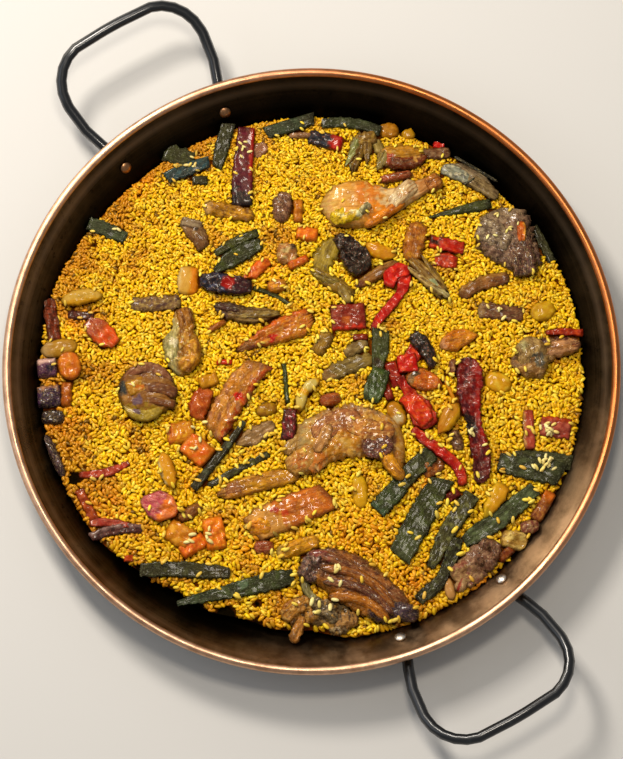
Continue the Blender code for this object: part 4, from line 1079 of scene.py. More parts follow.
        (2, -17, 0.5, 22, 44, 10, ["dc9038", ("lines", 3, "b86c20")],
         {"rise": 6, "ragged": 0.02, "rough": 0.5}),
        (17, 0, 2.0, 32, 36, 18, ["dccdb8", ("lines", 3, "b48c68"), ("spot", -8, 2, 4, "e8e0d4")],
         {"rise": 9, "rough": 0.5, "ragged": 0.03}),
        (46, 12, 1.0, 20, 17, 16, ["b07848", ("patch", 5, 0.2, "844c2c")], {"rise": 9}),
        (12, 18, -2.0, 0, 32, 9, ["94503c", ("lines", 3, "6c3420")], {"rise": 8}),
    ],
    "flat_bean_10": [
        (-16, -18, 0.4, 2, 32, 17, ["34422a", ("patch", 8, 0.1, "4c5c3c"), ("along", -0.6, -0.9, "58746c")],
         square),
    ],
    "flat_bean_06": [
        # the pale grey-blue spot is a painted highlight
        (1, -19, 0.6, -3, 32, 17, ["3c5420", ("patch", 8, 0.1, "5c6c38"), ("spot", -8, 2, 4, "8ca094")],
         {"hi": [0.5, 0.9, 1, 1], "lo": [-0.6, -0.9, -1, -1], "ragged": 0.02, "round": 0.3, "soft": 0.8}),
    ],
    "pepper_strip_02": [
        (4, 23, 0.8, -30, 26, 14, ["d83018", ("patch", 8, 0.2, "e8502c")],
         {"hi": [0.5, 1, 1, 0.5], "bow": 3}),
    ],
    "pepper_piece_03": [
        (-6, 35, 0.6, 70, 18, 17, ["d83818", ("patch", 6, 0.2, "e86030")], {"rise": 4}),
        (3, -6, 0.8, 10, 34, 18, ["e05020", ("patch", 7, 0.2, "f07838"), ("rim", 0.8, ("b02c10", 0.5))],
         {"rise": 4, "hi": [0.4, 1, 1, 0.6]}),
    ],
    "pepper_piece_06": [
        # its grey patches are a painted sheen on the black skin
        (2, 4, 1.6, 20, 20, 12, ["1c1e22", ("patch", 4, 0.2, "60625c")], {"rise": 4, "rough": 2.2}),
    ],
}
spreads = {  # width in mm of a topping that follows a line
    "pepper_strip_01": 17, "pepper_strip_02": 10, "pepper_strip_03": 10, "pepper_strip_04": 18,
    "drumstick": 45,
}


def joined(pieces, name):
    deselectAll()
    for piece in pieces:
        piece.select_set(True)
    bpy.context.view_layer.objects.active = pieces[0]
    bpy.ops.object.join()
    return named(name)


showing = {"core": 0.35, "sunkShare": 0.2, "percentile": 70, "clear": 0.0006, "above": 0.2}


def bringUp(form, below):
    # A part that would lie sunk in the forms below it comes up until it shows
    points = coordinates(form.data)
    middle = points.mean(axis=0)
    near = np.abs(points - middle).max(axis=1) < showing["core"] * np.ptp(points, axis=0)[:2].max()
    crown = points[near & (points[:, 2] > middle[2])]
    if not len(crown):
        return
    roof = np.full(len(crown), -1.0)
    for other in below:
        faces = [tuple(p.vertices) for p in other.data.polygons]
        tree = BVHTree.FromPolygons([tuple(p) for p in coordinates(other.data)], faces)
        for index, point in enumerate(crown[::2]):
            hit = tree.ray_cast(Vector((point[0], point[1], showing["above"])), Vector((0, 0, -1)))[0]
            if hit is not None:
                roof[index * 2] = max(roof[index * 2], hit.z)
    short = (roof - crown[:, 2])[roof > 0]
    if len(short) > showing["sunkShare"] * len(crown):
        points[:, 2] += max(0.0, float(np.percentile(short, showing["percentile"])) + showing["clear"])
        reshape(form.data, points)


dressing = {"sink": 1.3, "meatRise": 0.48, "firstSeed": 11, "seedStep": 7, "partSeedStep": 3}


def makeNodeToppings():
    made = []
    for index, (node, (kind, rules, extra)) in enumerate(toppings.items()):
        lie = lieOf(node)
        lie["middle"] = (lie["low"] + lie["high"]) / 2 - dressing["sink"]
        extra = {"seed": dressing["firstSeed"] + index * dressing["seedStep"], **extra}
        if kind == "meat":
            extra = {"rise": (lie["high"] - lie["low"]) * dressing["meatRise"], **extra}
        if "line" in extra:
            x, y, w, h = lie["box"]
            extra["line"] = [(x + fx * w, y + fy * h) for fx, fy in extra["line"]]
            lie["length"] = sum(math.dist(a, b) for a, b in zip(extra["line"], extra["line"][1:]))
            lie["width"] = spreads[node]
        piece = shapeTopping("dressed_" + node, kind, lie, rules, **extra)
        forms = [piece]
        for dx, dy, lift, turn, length, width, partRules, more in parts.get(node, []):
            part = {"x": lie["x"] + dx, "y": lie["y"] + dy, "turn": lie["turn"] + math.radians(turn),
                    "length": length, "width": width, "middle": lie["middle"] + lift}
            more = {"seed": extra["seed"] + dressing["partSeedStep"] * len(forms), **more}
            form = shapeTopping(f"{node}_{len(forms)}", kind, part, partRules, **more)
            bringUp(form, forms)
            forms.append(form)
        if len(forms) > 1:
            piece = joined(forms, "dressed_" + node)
        piece.data.materials.append(finishes[kind])
        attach(piece, "root")
        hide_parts(node)
        made.append(piece)
    return made


nodeToppings = makeNodeToppings()
say(f"{len(nodeToppings)} toppings are dressed")


small = {  # by kind, in mm and degrees: middle, heading, length, width, colours, shape
    "bean": [
        (-111, 84, 86, 27, 19, ["d8b060", ("across", 0.1, -0.5, "d88a14"),
                                ("across", 0.5, 0.9, ("e8dca0", 0.8))], {"round": 0.5}),
        (62, 111, -12, 30, 16, ["d09408", ("patch", 7, 0.2, "e0b030")],
         {"hi": [0.9, 1, 0.8, 0.5], "lo": [0, -0.9, -1, -0.6], "round": 0.6}),
        (70, 224, 0, 19, 16, ["a0701c", ("patch", 6, 0.2, "b88428")], {}),
        (88, 221, 20, 13, 12, ["b8902c"], {}),
        (208, 56, 20, 24, 18, ["c8a034", ("patch", 8, 0.2, "d8b850")], {}),
        (167, -9, -20, 25, 19, ["dcac34", ("patch", 8, 0.2, "e4c45c")], {}),
        (43, -108, 95, 32, 15, ["e0b42c", ("along", 0.2, 0.8, ("ccb050", 0.8))], {}),
        (122, -195, -75, 22, 10, ["c8a06c", ("rim", 0.8, ("8c6438", 0.6))], {}),
        (-226, 22, 10, 34, 17, ["b08840", ("along", -0.2, -0.7, ("b8a070", 0.8))], {}),
        (76, -38, -65, 25, 16, ["b88428", ("spot", 4, 0, 5, "d8d0a8"), ("across", 0.2, 0.8, ("d0a030", 0.7))],
         {}),
        (124, -17, -66, 34, 4, ["d89a18"], {"rise": 3}),
        (-40, -34, 15, 20, 13, ["946a1c", ("patch", 6, 0.1, "b08c3c")], {}),
    ],
    "pod": [
        (-184, 131, -22, 37, 13, ["3a4436", ("patch", 9, 0.1, "4e5a48")], {"hi": [0.9, 1, 1, 0.7]}),
        (134, 149, 13, 58, 10, ["3e4426", ("patch", 12, 0.1, "545a38")],
         {"hi": [0.15, 0.5, 0.8, 1, 0.9], "lo": [-0.15, -0.4, -0.7, -1, -0.9], "rise": 3, "ragged": 0.03}),
        (-120, 200, -20, 28, 17, ["343818", ("patch", 7, 0.1, "484c2a")], {"ragged": 0.12}),
        (-101, 177, 0, 14, 8, ["383008"], {}),
        (-68, 120, 26, 44, 9, ["3c4016", ("patch", 8, 0.2, "5c6028"), ("rim", 0.8, ("22260a", 0.6))],
         {"hi": [0.3, 1, 1, 0.6]}),
        (-35, 70, -25, 38, 4, ["3e3e10", ("lines", 2, "5a5a24")], {"bow": 1}),
        (-65, -88, 28, 62, 7, ["4a421a", ("lines", 2, "2c260a"), ("patch", 8, 0.5, "7c7848")],
         {"hi": [0.6, 1, 1, 0.8]}),
        (207, -79, -6, 52, 15, ["484a34", ("patch", 8, 0.1, "64664e"), ("lines", 3, ("34361e", 0.6))],
         {"hi": [0.7, 1, 1, 0.9]}),
        (209, 118, -64, 38, 8, ["302e18", ("patch", 8, 0.2, "403e24")], {}),
        (-23, -10, 95, 36, 4, ["46500e"], {}),
    ],
    "strip": [
        (13, 214, -14, 32, 14, ["182438", ("patch", 6, 0.3, "3c4c60"), ("along", 0.2, 0.4, "b8241a")],
         {"rise": 4}),
        (-20, -48, 85, 29, 13, ["50141f", ("across", 0.4, 0.8, "120e12"), ("patch", 5, 0.4, "a04050")],
         {"rough": 1.4, "rise": 4}),
        (122, 117, -12, 32, 12, ["c03c1c", ("spot", -11, 2, 5, "2e1814"), ("patch", 6, 0.3, "dc5c28")],
         {"rough": 1.4}),
        (121, 103, -10, 22, 14, ["b83c20", ("patch", 5, 0.1, "d8603c")], {"rough": 1.4, "hi": [0.6, 1, 0.6]}),
        (116, 211, -15, 11, 8, ["cc1c10"], {"rise": 3.5}),
        (-184, -89, 14, 46, 8, ["b04838", ("patch", 7, 0.1, "c87060"), ("rim", 0.8, ("782818", 0.6))],
         {"bow": -3, "hi": [0.4, 1, 1, 0.4]}),
        (-200, -120, -62, 32, 9, ["a04c2c", ("patch", 6, 0.1, "c06c40")], {}),
        (-179, -136, -3, 36, 8, ["a84840", ("patch", 6, 0.1, "c06c5c")], {"hi": [0.7, 1, 0.8, 0.3]}),
        (-174, -144, 10, 48, 9, ["40282e", ("across", 0.0, 0.6, ("a89ca0", 0.8)),
                                 ("patch", 6, 0.2, "5c3c40")], {"bow": 2}),
        (194, -52, 92, 36, 10, ["bc6050", ("across", 0.4, 0.8, "dcc080")], {}),
        (218, -50, -8, 28, 19, ["a8544c", ("patch", 7, 0.1, "c07868"), ("across", 0.4, 0.8, ("c85c34", 0.8))],
         {}),
        (227, 37, -3, 34, 7, ["a83c28", ("patch", 5, 0.2, "c85c38")], {"hi": [0.2, 1, 1]}),
        (-78, 9, 0, 15, 5, ["cc4810"], {}),
        (-162, -168, 0, 9, 6, ["d0641c"], {}),
        (90, 14, 60, 22, 15, ["cc3c16", ("patch", 6, 0.2, "e0602c"), ("rim", 0.8, ("981c08", 0.6))],
         {"rise": 4}),
        (74, -2, -70, 24, 11, ["9c2018", ("patch", 6, 0.2, "b84c24")], {}),
        (125, -112, 30, 15, 8, ["64100f"], {}),
        (-233, 46, -80, 44, 12, ["6c3820", ("lines", 3, "8c4028"), ("patch", 5, 0.2, "4a2018")],
         {"rough": 2}),
        (-207, 52, -5, 24, 8, ["3c1c24", ("patch", 4, 0.2, "643c34")], {}),
        (44, 32, 0, 14, 6, ["8c3820"], {}),
        (68, -18, -70, 16, 8, ["94340c"], {}),
    ],
    "chunk": [
        (-219, -20, 90, 23, 10, ["985208", ("patch", 5, 0.2, "bc700c")], {}),
        (-100, -28, 72, 30, 19, ["ac5430", ("patch", 7, 0.1, "c06c44"),
                                 ("across", 0.3, 0.8, ("9c4024", 0.8))], {"hi": [0.5, 1, 0.9, 0.5]}),
        (-117, -55, 10, 25, 20, ["d08c28", ("along", -0.2, -0.8, "d07850"), ("patch", 6, 0.4, "ecb848")], {}),
        (-102, -71, -40, 28, 22, ["dc8618", ("patch", 8, 0.1, "e47830"), ("rim", 0.85, ("b06408", 0.6))],
         {"rise": 6}),
        (-117, -147, -30, 26, 21, ["d08c3c", ("patch", 7, 0.1, "e0a858"), ("rim", 0.85, ("a86420", 0.6))],
         {"rise": 6}),
        (-105, -157, 32, 26, 14, ["e0742c", ("patch", 6, 0.2, "f09850")], {"rise": 7}),
        (-86, -146, -80, 30, 20, ["ec8a10", ("patch", 6, 0.3, "f4a838")], {"rise": 6}),
        (-49, 94, 28, 28, 15, ["d0641c", ("patch", 7, 0.1, "e08040"), ("across", 0.4, 0.8, ("e8783c", 0.8))],
         {"hi": [0.1, 0.6, 1, 0.6], "lo": [-0.2, -1, -0.6, -0.2], "round": 0.1}),
        (-4, 127, -10, 20, 13, ["e07c12", ("patch", 6, 0.2, "ec9428")], {}),
        (-12, 101, 25, 20, 8, ["c86428", ("patch", 5, 0.2, "dc8848")], {}),
        (-12, 148, 88, 22, 9, ["b8740c", ("patch", 6, 0.2, "cc8c20")], {}),
        (206, -121, 60, 30, 12, ["844c3c", ("patch", 5, 0.1, "a87450"), ("along", 0.1, 0.6, ("c8702c", 0.9))],
         {}),
        (-92, -8, 20, 18, 12, ["c89420"], {}),
        (172, -164, 40, 18, 9, ["84482c", ("patch", 4, 0.2, "70301c")], {}),
    ],
    "leafy": [
        (-50, -57, 25, 40, 17, ["a08060", ("lines", 3, "c8a88c"), ("lines", 5, ("6c4c34", 0.6))],
         {"hi": [0.2, 0.8, 1, 0.8], "lo": [-0.4, -0.9, -1, -0.5]}),
        (-140, 63, 3, 46, 14, ["84684e", ("patch", 7, 0.1, "5c4048"), ("patch", 5, 0.4, "b8a070")],
         {"rough": 1.5, "ragged": 0.15}),
        (155, 80, 20, 48, 13, ["8c5c38", ("lines", 3, "6c4030"), ("across", 0.3, 0.8, ("b0844c", 0.8))],
         {"bow": 2}),
        (170, 55, -8, 42, 15, ["684034", ("patch", 7, 0.2, "8c6450"), ("along", -0.6, -0.9, ("c0a484", 0.8))],
         {}),
        (-3, -192, -72, 36, 8, ["8c8a68", ("lines", 2, "b8b494")], {"bow": -3}),
        (113, 202, 4, 26, 11, ["6c4838", ("patch", 6, 0.2, "8c6854")], {}),
        (32, 5, 21, 50, 15, ["86754c", ("lines", 3, "645432"), ("along", -0.4, -0.8, ("a07850", 0.8)),
                             ("along", 0.5, 0.9, ("a48c50", 0.8))], {"hi": [0.6, 1, 1, 0.8]}),
        (40, 22, 30, 24, 11, ["988460", ("lines", 2, "745c38")], {}),
        (10, 27, 60, 24, 14, ["a4803c", ("lines", 3, "80602c")], {}),
        (13, 108, 62, 36, 20, ["a08c40", ("patch", 9, 0.1, "b8a458"), ("lines", 4, ("7c682c", 0.6))],
         {"hi": [0.5, 1, 0.9, 0.4], "rough": 0.7}),
        (46, 213, 10, 22, 12, ["8c7c48", ("patch", 6, 0.2, "a89868")], {}),
        (62, 206, -60, 20, 10, ["94824c", ("lines", 2, "c0b080")], {}),
    ],
    "meat": [
        (-48, -100, 12, 76, 17, ["b4822c", ("lines", 4, "d0a044"), ("spot", -22, -3, 9, "88563c"),
                                 ("lines", 3, ("8c5c1c", 0.6))], {"rough": 0.8, "hi": [0.3, 0.9, 1, 1, 0.6]}),
        (-56, -107, 14, 50, 9, ["a87434", ("lines", 3, "c89844")], {}),
        (-12, -158, 18, 40, 15, ["d09a24", ("lines", 3, "e0b048"), ("along", -0.5, -0.9, ("b8a86c", 0.8))],
         {}),
        (132, 29, 14, 36, 20, ["c87c24", ("lines", 4, "dc9c44"), ("along", -0.5, -0.8, ("d0a48c", 0.8))],
         {"hi": [0.5, 1, 1, 0.4], "lo": [-0.7, -1, -0.6, -0.2]}),
        (101, -7, -15, 34, 22, ["c0681c", ("patch", 8, 0.2, "d48430"), ("spot", -9, 3, 4, "20140e"),
                                ("spot", -12, -3, 4, "8c6c4c")],
         {"hi": [0.6, 1, 0.8, 0.3], "lo": [-0.8, -1, -0.9, -0.3]}),
        (-27, 152, 80, 29, 18, ["6c4c44", ("patch", 7, 0.1, "8c6c60"), ("patch", 5, 0.5, "40282c")],
         {"hi": [0.6, 0.9, 1, 0.8]}),
        (-75, 148, -12, 48, 15, ["a47828", ("lines", 4, "c89c44"), ("patch", 7, 0.3, "7c5418"),
                                 ("along", -0.5, -0.9, ("b89c70", 0.8))], {"ragged": 0.15}),
        (93, 120, 78, 38, 20, ["a86824", ("patch", 7, 0.1, "c48c40"), ("patch", 5, 0.5, ("6c3c38", 0.6))],
         {"rough": 1.0, "ragged": 0.15}),
        (-22, 109, 0, 19, 20, ["b08058", ("patch", 6, 0.1, "d8c8a0"), ("spot", 6, 7, 4, "382420")],
         {"rough": 1.3}),
        (-31, 79, 10, 18, 13, ["b8781c", ("patch", 5, 0.2, "d8a040")], {"rough": 1.3}),
        (17, -25, 10, 20, 12, ["8c4424", ("patch", 5, 0.2, "a8643c")], {}),
        (-42, -158, 0, 18, 12, ["8c4020", ("lines", 2, "c07c6c")], {}),
        (180, -152, -10, 25, 18, ["b89c60", ("patch", 6, 0.1, "d8c890"), ("rim", 0.8, ("7c5434", 0.7))],
         {"rough": 1.3}),
        (194, -140, 10, 18, 13, ["7c4848", ("patch", 5, 0.2, "b89c80")], {}),
        (-237, 4, 5, 18, 18, ["5c3a50", ("across", 0.3, 0.6, "d4b8a4"), ("spot", 3, 0, 4, "1c1430")],
         {"round": 0.3, "tint": (0.9, 0.8, 0.9)}),
        (-235, -22, 5, 23, 20, ["28142c", ("across", 0.5, 0.75, "b89068"), ("patch", 6, 0.2, "402444")],
         {"round": 0.3, "tint": (0.8, 0.7, 0.9)}),
        (-231, -41, 0, 21, 14, ["1c0e12", ("patch", 5, 0.2, "30202c")], {"tint": (0.8, 0.7, 0.8)}),
        (-229, -76, -66, 42, 9, ["2c1c20", ("patch", 6, 0.2, "503c44")], {"tint": (0.8, 0.7, 0.8)}),
        (126, 4, 80, 17, 8, ["74483c", ("patch", 4, 0.2, "a07858")], {}),
        (-85, 42, 30, 20, 6, ["a0602c"], {}),
        (-10, 219, 0, 22, 6, ["907060"], {}),
        (-47, 206, 30, 16, 12, ["986c60", ("patch", 5, 0.3, "b08c7c")], {"rise": 3}),
        (-108, -127, 30, 24, 11, ["7c4c2c", ("patch", 5, 0.2, "a07048")], {}),
        (134, -188, 65, 22, 12, ["b09880", ("lines", 3, "983c3c")], {}),
        (129, -62, -70, 20, 12, ["5c3a2c", ("patch", 4, 0.3, "a08470")], {"rough": 1.2}),
        (-17, -66, 50, 22, 12, ["b09060", ("patch", 5, 0.2, "ccb484")], {}),
        (15, -40, 10, 26, 9, ["a08058", ("lines", 3, "c4a478")], {}),
        (108, -86, 30, 22, 16, ["74401c", ("patch", 4, 0.2, "a86828")], {"rise": 3}),
    ],
}
pluralNames = {"bean": "smallButterBeans", "pod": "smallFlatBeans", "strip": "smallPepperPieces",
               "chunk": "smallPumpkinPieces", "leafy": "smallArtichokePieces", "meat": "smallMeatPieces"}


smallLooks = {"pitch": 1.45, "sink": 0.4, "firstSeed": 301, "seedStep": 5, "kindSeedStep": 31}
smallLeaf = {"rise": 3.0, "flat": 4.5, "ragged": 0.14}
smallMeat = {"rise": 4.5, "risePerWidth": 0.08, "drop": 5.0}


def makeSmallToppings():
    made = []
    for kind, rows in small.items():
        pieces = []
        for index, (x, y, turn, length, width, rules, extra) in enumerate(rows):
            seed = smallLooks["firstSeed"] + len(rows) * smallLooks["kindSeedStep"]
            seed = seed + index * smallLooks["seedStep"]
            extra = {"seed": seed, "pitch": smallLooks["pitch"], **extra}
            if kind == "meat":
                rise = smallMeat["rise"] + width * smallMeat["risePerWidth"]
                extra = {"rise": rise, "drop": smallMeat["drop"], **extra}
            if kind == "leafy":
                extra = {**smallLeaf, **extra}
            level = riceLevel(np.array([float(x)]), np.array([float(y)]))[0]
            lie = {"x": x, "y": y, "turn": math.radians(turn), "length": length, "width": width,
                   "middle": level - smallLooks["sink"]}
            pieces.append(shapeTopping(f"{kind}_{index}", kind, lie, rules, **extra))
        piece = joined(pieces, pluralNames[kind])
        piece.data.materials.append(finishes[kind])
        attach(piece, "root")
        made.append(piece)
    return made


rice = {  # lengths in mm
    "radius": 246, "crown": 1.4, "below": 0.4, "waves": 0.6, "waveSize": 60, "farDip": 7.0, "bareDip": 7.0,
    "bareSide": (0.33, 0.944),  # the side, towards the viewer, on which the pan shows bare
    "dipFrom": 0.92, "farTurn": (0.3, 0.8), "bareTurn": (0.86, 0.97), "coreDrop": 3.4, "length": 6.1,
    "width": 2.9, "height": 2.5, "fatEnd": 0.12, "bend": 0.06, "nearSwell": 0.24, "uneven": 0.10,
    "cell": 0.8, "reach": 252, "span": 5, "edgeGap": 2.5, "wallGap": 0.3, "tries": 125000, "perPiece": 4000,
    "sink": 0.25, "belly": 0.35, "pile": 0.3, "leaning": 0.08, "stray": 0.006, "edgeCells": 3,
    "clumpSize": 20, "clumping": (-0.1, 1.2), "tilting": 0.10, "steepest": 0.6, "upended": 0.06,
    "upright": (0.7, 1.3), "tipSunk": 0.4, "ends": 0.3, "endsApart": 1.3, "gaps": 900, "gapSize": 1.9,
    "gapSpread": (0.5, 1.2), "seed": 5, "toneSeed": 9,
}
riceTones = {
    "grains": ["f6c406", "ecb204", "fad012", "dca404", "fadc40", "e4bc10"], "toasted": "b8680c",
    "burnt": "54240a", "stain": "dc7208", "pale": "ecdf74", "cream": "f0e8a4", "sheen": "ffd23c",
    # The first three values on the next line set the painted shade low down on each grain
    "under": (0.66, 0.28, 0.08), "underShadeFrom": (-0.35, 0.75), "underShadeShare": 0.75, "edge": (165, 240),
    "edgeToast": 1.5, "toastFrom": (0.2, 1.9), "toastShare": 0.75, "lowFrom": (3.4, 1.2), "lowShare": 0.35,
    "mostToast": 0.9, "stainShare": 0.65, "stainCore": 0.3, "paleShare": 0.6, "burntLeast": 0.006,
    "burntToast": 0.05, "darkest": 0.76, "lightest": 1.04,
}
bed = {  # the solid bed under the grains, in dark saffron tones that also stand as painted shade in the gaps
    "tones": ("421a02", "703404", "96560a"), "bare": "080602", "turns": 120, "edgeGap": 1.2, "topFrom": 5,
    "radii": [1, 60, 120, 170, 205, 225, 238, 244], "below": 4.0,
    "foot": [(1, 1.6), (120, 1.6), (215, 1.6), (228, 4.2), (238, 13.5)], "footBelow": 10,
}
stains = [  # where the rice is stained by the peppers and the meat: middle and reach in mm
    (44, -151, 46), (88, -188, 30), (-54, -151, 28), (-185, -128, 36), (128, -40, 26), (-36, 100, 22),
    (-205, 42, 26), (-222, -40, 26), (-100, -95, 22), (95, -95, 26), (-160, 175, 26), (150, -190, 24),
]
piles = [  # pale grains that lie on the toppings: middle, how many, how wide
    (-107, 193, 4, 3), (170, 145, 3, 4), (180, 134, 3, 4), (168, 122, 3, 5), (210, -50, 13, 4),
    (213, -82, 15, 5), (10, -210, 6, 5), (-64, 203, 6, 4), (-177, 130, 2, 2), (171, 62, 9, 6),
    (-159, -13, 1, 1), (62, 130, 5, 6), (-150, -176, 5, 6), (20, -180, 5, 6), (-35, 90, 4, 4),
    (-100, -60, 6, 7), (-98, -150, 7, 7), (152, -60, 6, 7),
]
bareSpots = [  # no grains lie here and the bed is painted near black: middle and reach in mm
    (-211, -96, 7), (-151, -178, 7), (-126, -202, 10), (-104, -213, 11), (-76, -220, 12), (-50, -229, 9),
    (-26, -234, 6), (-48, -208, 5), (-196, 118, 4),
]


def wallReach(band=3.2, step=7.5, window=4):
    # How far the rice reaches at each bearing, read off the node's top edge
    points = toServing(coordinates(nodes["rice"].data)) / mm
    top = points[points[:, 2] > points[:, 2].max() - band]
    bearing = np.degrees(np.arctan2(top[:, 1], top[:, 0])) % 360
    radius = np.hypot(top[:, 0], top[:, 1])
    bins = np.arange(0, 360, step)
    reach = [radius[np.abs((bearing - b + 180) % 360 - 180) < window].max() for b in bins]
    return lambda x, y: np.interp(np.degrees(np.arctan2(y, x)) % 360, bins, reach, period=360)


reachAt = wallReach()
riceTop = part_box("rice")[1].z / mm


def riceLevel(x, y):
    away = np.hypot(x, y).ravel() / rice["radius"]
    wave = rice["waves"] * ripple(np.column_stack([np.ravel(x), np.ravel(y)]), rice["waveSize"], 3)
    dip = edgeDip(x, y) * smooth(away, rice["dipFrom"], 1.0)
    return riceTop - rice["below"] - rice["crown"] * away ** 2 - dip + wave


def edgeDip(x, y):
    # How far the rice has drawn away from the wall, in mm: on the far side, and where the pan shows bare
    away = np.maximum(np.hypot(x, y).ravel(), 1)
    bare = -(rice["bareSide"][0] * np.ravel(x) + rice["bareSide"][1] * np.ravel(y)) / away
    far = rice["farDip"] * smooth(np.ravel(y) / away, *rice["farTurn"])
    return far + rice["bareDip"] * smooth(bare, *rice["bareTurn"])


smallToppings = makeSmallToppings()
say("smaller toppings are laid")


def makeHeightMap(pieces):
    # The ground and the toppings' tops over each cell of a grid, and where loose grains gather on them
    count = int(2 * rice["reach"] / rice["cell"])
    axis = (np.arange(count) + 0.5) * rice["cell"] - rice["reach"]
    x, y = np.meshgrid(axis, axis, indexing="ij")
    level = riceLevel(x.ravel(), y.ravel()).reshape(x.shape)
    ground = level - rice["coreDrop"]
    cover = ground - 1
    for piece in pieces:
        points = toServing(coordinates(piece.data)) / mm
        i = ((points[:, 0] + rice["reach"]) / rice["cell"]).astype(int)
        j = ((points[:, 1] + rice["reach"]) / rice["cell"]).astype(int)
        keep = (i > 0) & (j > 0) & (i < count) & (j < count)
        np.maximum.at(cover, (i[keep], j[keep]), points[keep, 2])
    spread = grown(grown(cover, np.maximum), np.maximum)
    onTopping = grown(grown(spread > ground + 0.5, np.logical_and), np.logical_and)
    inside = onTopping
    for _ in range(rice["edgeCells"]):
        inside = grown(inside, np.logical_and)
    cloud = ripple(np.column_stack([x.ravel(), y.ravel()]), rice["clumpSize"], 31)
    clump = smooth(cloud, *rice["clumping"]).reshape(x.shape)
    loose = np.where(inside, rice["stray"], rice["leaning"]) * clump
    return axis, level, ground, spread, onTopping, loose


def grown(field, pick):
    made = field.copy()
    for shift in (1, -1):
        for line in (0, 1):
            made = pick(made, np.roll(field, shift, axis=line))
    return made


def dropGrains(pieces):
    rng = np.random.default_rng(rice["seed"])
    axis, level, heap, spread, onTopping, loose = makeHeightMap(pieces)
    cell, reach, span = rice["cell"], rice["reach"], rice["span"]
    grains = []
    sides = np.arange(-span, span + 1)
    bare = np.zeros(heap.shape, bool)
    x, y = np.meshgrid(axis, axis, indexing="ij")
    edgeAt = reachAt(x, y) - rice["edgeGap"] - edgeDip(x, y).reshape(x.shape)
    for x, y, size in bareSpots:
        bare |= np.hypot(axis[:, None] - x, axis[None, :] - y) < size
    for i, j in rng.integers(span, len(axis) - span - 1, (rice["gaps"], 2)):
        hole = np.hypot(*np.meshgrid(sides, sides)) * cell < rice["gapSize"] * rng.uniform(*rice["gapSpread"])
        bare[i - span:i + span + 1, j - span:j + span + 1] |= hole
    r = rice["radius"] * np.sqrt(rng.random(rice["tries"]))
    bearing = rng.random(rice["tries"]) * 2 * math.pi
    anywhere = np.column_stack([r * np.cos(bearing), r * np.sin(bearing), np.zeros(len(r))])
    handfuls = [(x + rng.normal(0, wide), y + rng.normal(0, wide), 1)
                for x, y, many, wide in piles for _ in range(many)]
    for x, y, chosen in np.vstack([anywhere, handfuls]):
        i, j = int((x + reach) / cell), int((y + reach) / cell)
        lying = onTopping[i, j]
        if math.hypot(x, y) > edgeAt[i, j] or bare[i, j]:
            continue
        if lying and not chosen and rng.random() > loose[i, j]:
            continue
        size = (1.0 - rice["nearSwell"] * y / rice["radius"]) * rng.normal(1, rice["uneven"])
        halfL, halfW, halfH = rice["length"] / 2 * size, rice["width"] / 2 * size, rice["height"] / 2 * size
        upended = not lying and rng.random() < rice["upended"]
        pitch = rng.uniform(*rice["upright"]) if upended else 0
        yaw = rng.random() * math.pi * 2
        near = slice(i - span, i + span + 1), slice(j - span, j + span + 1)
        dx = axis[near[0], None] - x
        dy = axis[None, near[1]] - y
        a = dx * math.cos(yaw) + dy * math.sin(yaw)
        b = dy * math.cos(yaw) - dx * math.sin(yaw)
        shadow = math.hypot(halfL * math.cos(pitch), halfH * math.sin(pitch))
        q = (a / shadow) ** 2 + (b / halfW) ** 2
        under, belly = q < 1, q < rice["belly"]
        heapHere = heap[near]
        ground = np.maximum(heapHere, spread[near]) if lying else heapHere
        ends = rice["ends"] * shadow
        ahead, behind = ground[under & (a > ends)], ground[under & (a < -ends)]
        if not len(ahead) or not len(behind) or not belly.any():
            continue
        if upended:
            slope = 0
            tip = halfL * math.sin(pitch)
            most = level[i, j] + rice["pile"] - rice["tipSunk"] * tip
            z = min(ground[belly].mean() + halfH * rice["sink"], most)
        else:
            uneven = rng.normal(0, rice["tilting"])
            slope = (ahead.mean() - behind.mean()) / (rice["endsApart"] * halfL) + uneven
            slope = max(-rice["steepest"], min(rice["steepest"], slope))
            pitch = math.atan(slope)
            z = (ground[belly] - slope * a[belly]).max() + halfH * rice["sink"]
        if z > level[i, j] + rice["pile"] and not lying:
            continue
        top = z + slope * a + halfH * np.sqrt(np.clip(1 - q, 0, 1))
        heapHere[under] = np.maximum(heapHere[under], top[under])
        grains.append((x, y, z, yaw, pitch, halfL, halfW, halfH, float(lying) + chosen))
    return np.array(grains)


def grainBlank():
    deselectAll()
    bpy.ops.mesh.primitive_uv_sphere_add(segments=6, ring_count=5, radius=1, location=(0, 0, 0))
    blank = named("grainBlank")
    points = coordinates(blank.data)[:, [2, 0, 1]]
    points[:, 1] *= 1 + rice["fatEnd"] * np.abs(points[:, 0])
    faces = [tuple(p.vertices) for p in blank.data.polygons]
    bpy.data.objects.remove(blank)
    return points, faces


def joinedCopies(name, points, faces, places):
    # Every copy of a small shape in one mesh. places is (copies, points, 3)
    count = len(places)
    mesh = bpy.data.meshes.new(name)
    loops = np.concatenate([np.array(f) for f in faces])
    sizes = np.array([len(f) for f in faces])
    offsets = (np.arange(count) * len(points))[:, None]
    mesh.vertices.add(count * len(points))
    mesh.vertices.foreach_set("co", places.astype(np.float32).ravel())
    mesh.loops.add(count * len(loops))
    mesh.loops.foreach_set("vertex_index", (loops[None, :] + offsets).ravel().astype(np.int32))
    mesh.polygons.add(count * len(faces))
    starts = np.concatenate([[0], np.cumsum(sizes)[:-1]])[None, :] + (np.arange(count) * len(loops))[:, None]
    mesh.polygons.foreach_set("loop_start", starts.ravel().astype(np.int32))
    mesh.update(calc_edges=True)
    mesh.validate()
    mesh.shade_smooth()
    made = bpy.data.objects.new(name, mesh)
    bpy.context.scene.collection.objects.link(made)
    return made


